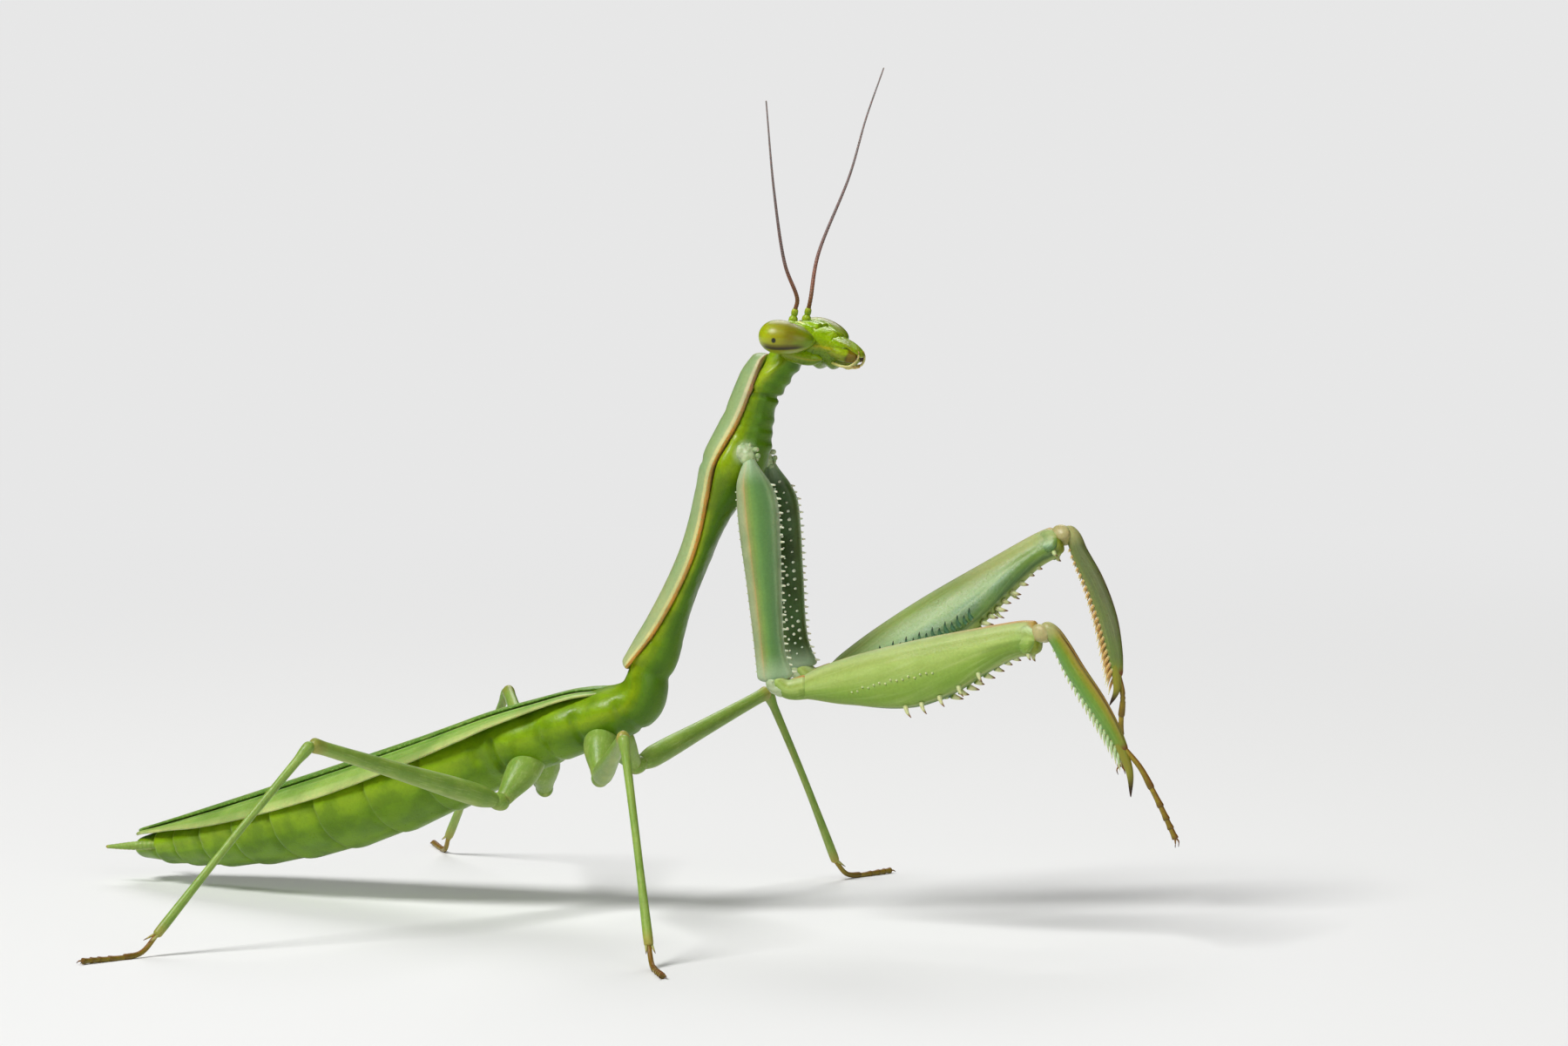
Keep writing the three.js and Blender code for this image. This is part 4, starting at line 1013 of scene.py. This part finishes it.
for name, spots in FORELEGS.items():
    hip, elbow, root, knee, wrist, claw, foot, belly = map(Vector, spots)
    stand, bow, heel, roll = BENDS[name]
    sign = SIDES[name]
    way, shin = (knee - root).normalized(), (wrist - knee).normalized()  # along the femur and the tibia
    down = (belly - way * belly.dot(way)).normalized()  # to the femur's spined edge
    across = (way.cross(down) * -sign).normalized()  # to its inner face
    inner = (shin * way.dot(shin) - way).normalized()  # to the tibia's teeth

    # Coxa, with its pegs: a strong row in front, three rows on the inner face and a fine row behind
    line = Line([hip, hip.lerp(elbow, 0.5) + AHEAD * 0.08, elbow])
    shape = new_shape()
    sleeve(shape, line, coxa_section, 80, 48, AHEAD, (0.02, 0.03), hand=-sign)
    for i in range(FRONT_PEGS):
        share = 0.13 + 0.83 * i / (FRONT_PEGS - 1)
        _, _, top = line.axes(share, AHEAD)
        size = 0.18 if i % 2 else 0.26
        at = line.at(share) + top * (coxa_front(share) - 0.08)
        spine(shape, at, at + top * (size + 0.06) - UP * (0.2 * size), 0.085, blunt=0.5)
    for row, level in enumerate((0.6, 0.22, -0.2)):
        for i in range(FACE_PEGS):
            share = 0.1 + 0.047 * (i + 0.5 * (row % 2)) + 0.008 * math.sin(7.3 * i + row)
            _, aside, top = line.axes(share, AHEAD)
            inward = coxa_half(share) * (0.97 - 0.5 * level**2) - 0.06
            at = line.at(share) + top * (level * coxa_front(share)) + aside * (sign * inward)
            spine(shape, at, at + aside * (sign * 0.15), 0.085 + 0.025 * math.sin(i * 5.1), blunt=0.7)
    for i in range(REAR_PEGS):
        share = 0.14 + 0.035 * i
        _, _, top = line.axes(share, AHEAD)
        at = line.at(share) - top * (coxa_back(share) - 0.04)
        spine(shape, at, at - top * 0.12, 0.055, blunt=0.5)
    piece("foreleg_coxa_" + name, shape, coxa_green, "leg", "fore_coxa_" + name)

    # Trochanter
    shape = new_shape()
    knuckle = elbow.lerp(root, 0.55) - UP * 0.35
    size = along({0: 0.5, 0.3: 0.55, 0.7: 0.66, 1: 0.72})
    bend = [elbow + UP * 0.35, knuckle + UP * 0.22, root + way * 0.7]
    sleeve(shape, bend, oval(0.5, size), 24, 32, UP, (0.2, 0.1))
    piece("foreleg_trochanter_" + name, shape, femur_green, "leg", "fore_trochanter_" + name)

    # The soft skin at the hip, the elbow and the knee
    shape = new_shape()
    puff = along({0: 0.85, 0.3: 0.78, 0.6: 0.5, 0.85: 0.38, 1: 0.25})
    inside = hip + Vector((-0.85, -sign * 0.85, 0.1))
    socket = [inside, hip.lerp(inside, 0.45) + UP * 0.12, line.at(0.035)]
    sleeve(shape, socket, lumpy(puff, 0.07, sign), 40, 40, AHEAD, 0.2)
    for i in range(HIP_BEADS):
        ring = Vector((math.cos(0.6 * i) * 0.72, sign * 0.1, math.sin(0.6 * i) * 0.62 + 0.1))
        bead = hip.lerp(inside, 0.4) + ring
        size = 0.15 + 0.06 * math.sin(i * 2.3)
        sleeve(shape, [bead - UP * 0.16, bead, bead + UP * 0.16], oval(size), 4, 12, AHEAD, 0.45)
    elbow_skin = [line.at(0.965), line.at(1) - UP * 0.1, knuckle]
    sleeve(shape, elbow_skin, lumpy(0.45, 0.05, sign), 16, 28, AHEAD, 0.25)
    knee_skin = [knee - way * 0.7, knee - way * 0.2, knee + shin * 0.3]
    sleeve(shape, knee_skin, lumpy(0.5, 0.06, sign), 24, 28, across, 0.3)
    piece("foreleg_joint_skin_" + name, shape, joint_skin, "leg")

    # Femur, with the two cheeks that hold the knee
    def on_femur(share, low, aside):
        """A spot in the femur, this far under its middle and this far towards its inner face."""
        return root.lerp(knee, share) + down * low + across * aside

    shape = new_shape()
    thigh = [root, root.lerp(knee, 0.5), knee]
    sleeve(shape, thigh, femur_section, 100, 64, -down, (0.02, 0.016), hand=-sign)
    for side in (across, -across):
        at = knee + side * 0.4
        cheek = [at - way * 1.6, at - way * 0.8 + down * 0.1, at - way * 0.12 + down * 0.32]
        size = along({0: 0.3, 0.5: 0.8, 0.8: 0.72, 1: 0.45})
        sleeve(shape, cheek, oval(0.22, size), 24, 28, -down, 0.2, hand=-sign)
        tooth = knee - way * 0.75 + side * 0.3 + down * 0.9
        spine(shape, tooth, tooth + down * 0.42 + way * 0.08, 0.13, way)
    for share, long in LONG_SPINES:
        at = on_femur(share, femur_belly(share) - 0.25, -0.5 * femur_half(share))
        spine(shape, at, at + down * (0.2 + 0.85 * long) - across * 0.1 + way * (0.45 * long), 0.13, way)
    for i in range(DARK_SPINES):  # the crowded dark row, which points inwards
        share = 0.2 + 0.025 * i
        long = 0.85 if i % 2 else 0.55
        at = on_femur(share, (0.6 + 0.75 * (share - 0.2)) * femur_belly(share), 0.55 * femur_half(share))
        tip = at + across * (0.2 + 0.85 * long) - down * (0.15 * long) + way * (0.3 * long)
        spine(shape, at, tip, 0.13, way, side=-1)
    for share, long in KNEE_SPINES:
        at = on_femur(share, femur_belly(share) - 0.22, 0.6 * roll * femur_half(share))
        drop = 0.2 + 0.55 * long * (1 - 0.8 * max(roll, 0))
        spine(shape, at, at + down * drop + across * (0.42 * roll) + way * (0.75 * long), 0.17, way)
    for i in range(SPECKS):  # a slanting row of small pale specks on the outer face
        share = 0.24 + 0.024 * i
        level = 0.98 - 0.5 * (share - 0.24) + 0.08 * math.sin(i * 2.4) + 0.05 * math.sin(i * 5.9)
        bulge = (1 - (level / femur_belly(share)) ** 2) ** 0.36
        at = on_femur(share, level, 0.06 - femur_half(share) * bulge)
        spine(shape, at, at - across * 0.12, 0.065, blunt=0.8, side=0.5)
    piece("foreleg_femur_" + name, shape, femur_green, "leg", "fore_femur_" + name)

    # Tibia and its claw
    bends = [(0.03, 0.62), (0.14, 0.62), (0.35, 0.55 + bow), (0.6, 0.48 + bow), (0.82, 0.25 + bow / 2)]
    top = knee - shin * 0.42 - inner * 0.32
    line = Line([top, *(knee.lerp(wrist, share) - inner * off for share, off in bends), wrist])
    shape = new_shape()
    shank = oval(tibia_half, tibia_toothed, tibia_back, sharp=1.05)
    sleeve(shape, line, shank, 70, 36, inner, (0.05, 0.04), hand=sign)
    for i in range(TIBIA_TEETH):
        place = i / (TIBIA_TEETH - 1)
        for row, far in ((-1, 1.0), (1, 0.9)):
            share = 0.17 + 0.78 * place - 0.012 * row
            long = (0.22 + 0.9 * place**1.2) * far
            at = line.at(share) + inner * (tibia_toothed(share) - 0.18) + across * (0.16 * row)
            tip = at + inner * (0.14 + stand * long) + shin * (math.sqrt(1 - stand**2) * long)
            spine(shape, at, tip + across * (0.1 * row), 0.11, shin, side=-sign)
    hook = [line.at(0.9), wrist.lerp(claw, 0.45) - inner * 0.14, claw]
    size = along({0: 0.3, 0.4: 0.26, 0.8: 0.13, 1: 0.03})
    sleeve(shape, hook, oval(size), 30, 20, inner, (0.06, 0.03), lambda t: 1.2 + t)
    spur = wrist + inner * 0.12 - across * 0.15
    spine(shape, spur, spur + shin * 0.75 + inner * 0.3, 0.1, shin)
    piece("foreleg_tibia_" + name, shape, tibia_green, "leg", "fore_tibia_" + name)

    # The knob of the knee, which turns between the femur's cheeks
    shape = new_shape()
    hub = knee - inner * 0.16 - shin * 0.05
    axle = [hub - across * 0.58, hub, hub + across * 0.58]
    sleeve(shape, axle, oval(0.6, 0.5), 20, 32, shin + inner, 0.25)
    piece("foreleg_knob_" + name, shape, knob_cream, "leg")

    # Foot
    shape = new_shape()
    steps = [line.at(0.95) - inner * (0.3 * heel), wrist - inner * heel + shin * 0.35]
    tarsus(shape, [*steps, wrist.lerp(foot, 0.5) - inner * heel, foot], 0.18)
    piece("foreleg_foot_" + name, shape, foot_ochre, "horn", "fore_tarsus_" + name)

# ---- Walking legs ----
# Four slim legs, green with ochre feet: a stout coxa and a small knuckle under the body, a long femur,
# a thin tibia with two spurs, and a foot of five joints whose sole lies on the ground.
WALKING_LEGS = {  # hip, elbow, knee, ankle, and the tip of the foot
    "mid_right": [
        (-2.7, -1.5, 10), (-2.2, -3.3, 8.4), (2.5, -14.4, 12), (5.4, -19.3, 1.1), (7.4, -23.6, 0.2),
    ],
    "mid_left": [(-2.6, 1.8, 10), (-2.1, 3.6, 8.4), (2.9, 14.3, 11.8), (6, 19.2, 1.1), (8.4, 23.3, 0.2)],
    "hind_right": [
        (-7.6, -0.9, 8.4), (-8.3, -2.8, 6.8), (-15.4, -15.2, 11.2), (-22.2, -22.3, 1.1), (-24.9, -26.5, 0.2),
    ],
    "hind_left": [
        (-7.4, 2.5, 8.4), (-7.9, 4.4, 6.8), (-14.2, 17.2, 11.2), (-20.6, 24.8, 1.1), (-23, 29.2, 0.2),
    ],
}
SOLE = 0.19  # half the thickness of a foot
THIGH_HAIRS, SHIN_HAIRS = 18, 22
LEVEL = Vector((1, 1, 0))


def leg_green(n):
    shell = n.ramp(n.level, {0: "#92a652", 0.3: "#7c9c3a", 1: "#8aa746"})
    shell = streaked(n, shell, "#b0c276", 9.0, 2.0, 0.4)
    return n.over(shell, "#a39a48", n.eased(n.along, 0.9, 1.0))


@finish("#5f862c", mottle=0.4, rough=0.4, spines=("#a8a860", "#5a3a1c"))
def walking_green(n):
    return leg_green(n)


for name, spots in WALKING_LEGS.items():
    row, side = name.split("_")
    hip, elbow, knee, ankle, foot = map(Vector, spots)
    way, shin = (knee - elbow).normalized(), (ankle - knee).normalized()
    ahead = ((foot - ankle) * LEVEL).normalized()
    shape = new_shape()
    size = along({0: 0.75, 0.4: 1.0, 0.6: 0.86, 0.82: 0.6, 1: 0.45})
    inside = hip + (hip - elbow) * 0.8
    sleeve(shape, [inside, hip, elbow], oval(size, sharp=1.1), 40, 28, AHEAD, (0.1, 0.08))
    knuckle = [elbow - way * 0.5, elbow + way * 0.1, elbow + way * 0.8]
    sleeve(shape, knuckle, oval(along({0: 0.36, 0.5: 0.52, 1: 0.42})), 16, 24, UP, 0.25)
    piece(f"{row}_leg_coxa_{side}", shape, walking_green, "body", f"{row}_coxa_{side}")

    shape = new_shape()
    size = along({0: 0.42, 0.1: 0.6, 0.5: 0.46, 0.9: 0.36, 1: 0.4})
    high = along({0: 0.42, 0.1: 0.66, 0.5: 0.52, 0.92: 0.4, 1: 0.48})
    thigh = [elbow + way * 0.45, elbow.lerp(knee, 0.5), knee + way * 0.25]
    sleeve(shape, thigh, oval(size, high, sharp=1.1), 70, 28, UP, (0.02, 0.025))
    for i in range(THIGH_HAIRS):
        at = elbow.lerp(knee, 0.2 + 0.042 * i) - UP * (0.42 - 0.006 * i)
        spine(shape, at, at - UP * 0.12 + way * 0.08, 0.035)
    piece(f"{row}_leg_femur_{side}", shape, walking_green, "body", f"{row}_femur_{side}")

    shape = new_shape()
    top = knee + way * 0.2
    size = along({0: 0.36, 0.05: 0.34, 0.1: 0.26, 0.6: 0.22, 0.95: 0.28, 1: 0.26})
    shank = [top - shin * 0.15, top.lerp(ankle, 0.5) + ahead * 0.12, ankle]
    sleeve(shape, shank, oval(size, sharp=1.1), 70, 20, ahead, (0.03, 0.015))
    for i in range(SHIN_HAIRS):
        at = top.lerp(ankle, 0.15 + 0.036 * i) + ahead * 0.18
        spine(shape, at, at + ahead * 0.12 + shin * 0.14, 0.03)
    outward = shin.cross(ahead).normalized()
    for edge in (outward, -outward):
        at = ankle - shin * 0.15 + edge * 0.14
        spine(shape, at, at + shin * 0.5 + ahead * 0.4 + edge * 0.12, 0.08)
    piece(f"{row}_leg_tibia_{side}", shape, walking_green, "body", f"{row}_tibia_{side}")

    shape = new_shape()
    heel = ankle - shin * 0.1
    sole = (ankle + ahead * 1.3) * LEVEL + UP * SOLE
    bend = heel.lerp(sole, 0.55) * LEVEL + UP * 0.45
    tarsus(shape, [heel, bend, sole, foot * LEVEL + UP * SOLE], SOLE * 0.9, 0.5)
    piece(f"{row}_leg_foot_{side}", shape, foot_ochre, "leg", f"{row}_tarsus_{side}")

# ---- Tail feelers ----
# A pair of short feelers beside the tip of the abdomen, each a tapering string of soft green beads
# that points back and a little outwards.
@finish("#7d9440", mottle=0.4, patch=2500, rough=0.45)
def cercus_green(n):
    return leg_green(n)


for name, sign in SIDES.items():
    tail, aside, _ = abdomen_line.axes(0.95, UP)
    aside *= sign
    root = abdomen_line.at(0.93) + aside * 1.2 - tail * 0.5
    tip = abdomen_line.at(0.93) + aside * 2.37 + tail * 2.6 + UP * 0.3
    shape = new_shape()
    size = along({0: 0.26, 0.4: 0.27, 1: 0.1})
    bend = [root, root.lerp(tip, 0.5) + aside * 0.12, tip]
    sleeve(shape, bend, beaded(size, 12), 72, 16, UP, (0.02, 0.05))
    piece("tail_feeler_" + name, shape, cercus_green, "leg", "cercus_" + name)

# ---- Forewings ----
# Two long leathery wings folded flat along the back, the left over the right: leaf green with a paler
# front edge, stiff veins fanning from the root, and a fine net between them.
WING_LINE = [
    (-2.4, 0.25, 13.85), (-5.5, 0.6, 12.95), (-9.5, 1.2, 11.78), (-14, 2.15, 10.1), (-20, 3.8, 8.0),
    (-26, 5.75, 5.95), (-31.5, 7.6, 4.1), (-34.9, 8.8, 3.0),
]
WING_SKIN = 0.12
WING_VEINS = [  # place across the wing at its root and at its tip, and how thick
    (0.93, 0.95, 0.05), (0.8, 0.86, 0.05), (0.68, 0.72, 0.075), (0.55, 0.5, 0.05), (0.42, 0.3, 0.06),
    (0.28, 0.12, 0.05),
]
WING_LIFT = {"right": -0.16, "left": 0.04}
wing_outer = along({0: 1, 0.1: 2.3, 0.3: 3.2, 0.55: 3.6, 0.8: 3.1, 0.93: 1.9, 1: 0.6})
wing_inner = along({0: 0.3, 0.1: 0.9, 0.3: 1.7, 0.6: 2, 0.85: 1.5, 1: 0.3})
wing_line = Line(WING_LINE)


@finish("#4f7a22", patch=350, rough=0.42)
def wing_green(n):
    shell = {0: "#5f8a28", 0.35: "#6c9630", 0.7: "#7aa63a", 0.9: "#96b650", 1: "#bfc87c"}
    shell = n.ramp(n.across, shell)
    spot = {0: n.maths("MULTIPLY", n.along, 34.0), 1: n.maths("MULTIPLY", n.across, 9.0)}
    spot = n.put("CombineXYZ", spot)[0]
    cells = n.put("TexVoronoi", {"Vector": spot, "Scale": 2.2}, feature="DISTANCE_TO_EDGE")[0]
    shell = n.over(shell, "#a3c46c", n.eased(cells, 0.09, 0.02), 0.45)
    return n.over(shell, "#b3ca78", n.put("Attribute", attribute_name="tip")["Fac"])


for name, lift in WING_LIFT.items():
    shape = new_shape()
    place, tipped = shape.verts.layers.float_vector["place"], shape.verts.layers.float["tip"]
    bmesh.ops.create_grid(shape, x_segments=200, y_segments=90, size=0.5)
    for vert in shape.verts:
        t, v = vert.co.x + 0.5, vert.co.y + 0.5
        _, aside, top = wing_line.axes(t, UP)
        vein = 0
        for start, end, size in WING_VEINS:
            vein = max(vein, size / 0.075 * fold(v, start + (end - start) * t**1.3, 0.011))
        across = (v * (wing_outer(t) + wing_inner(t)) - wing_inner(t)) * SIDES[name]
        sag = 0.085 * across**2 * min(1, 0.5 + 2 * t) + 0.2 * max(abs(across) - 2.2, 0) ** 2
        sag += 0.06 * fold(t, 0.14, 0.1) + 0.5 * fold(t, 0, 0.05)
        wave = 0.03 * math.sin(v * 21 + t * 3)
        vert[place] = (t, v, 0)
        vert[tipped] = min(vein, 1) * 0.6
        vert.co = wing_line.at(t) + aside * across + top * (lift - sag + wave + 0.05 * vein)
    bmesh.ops.recalc_face_normals(shape, faces=shape.faces)
    wing = piece("wing_" + name, shape, wing_green, "wing", "forewing_" + name)
    skin = wing.modifiers.new("skin", "SOLIDIFY")
    skin.thickness = WING_SKIN * MM
    skin.offset = 0
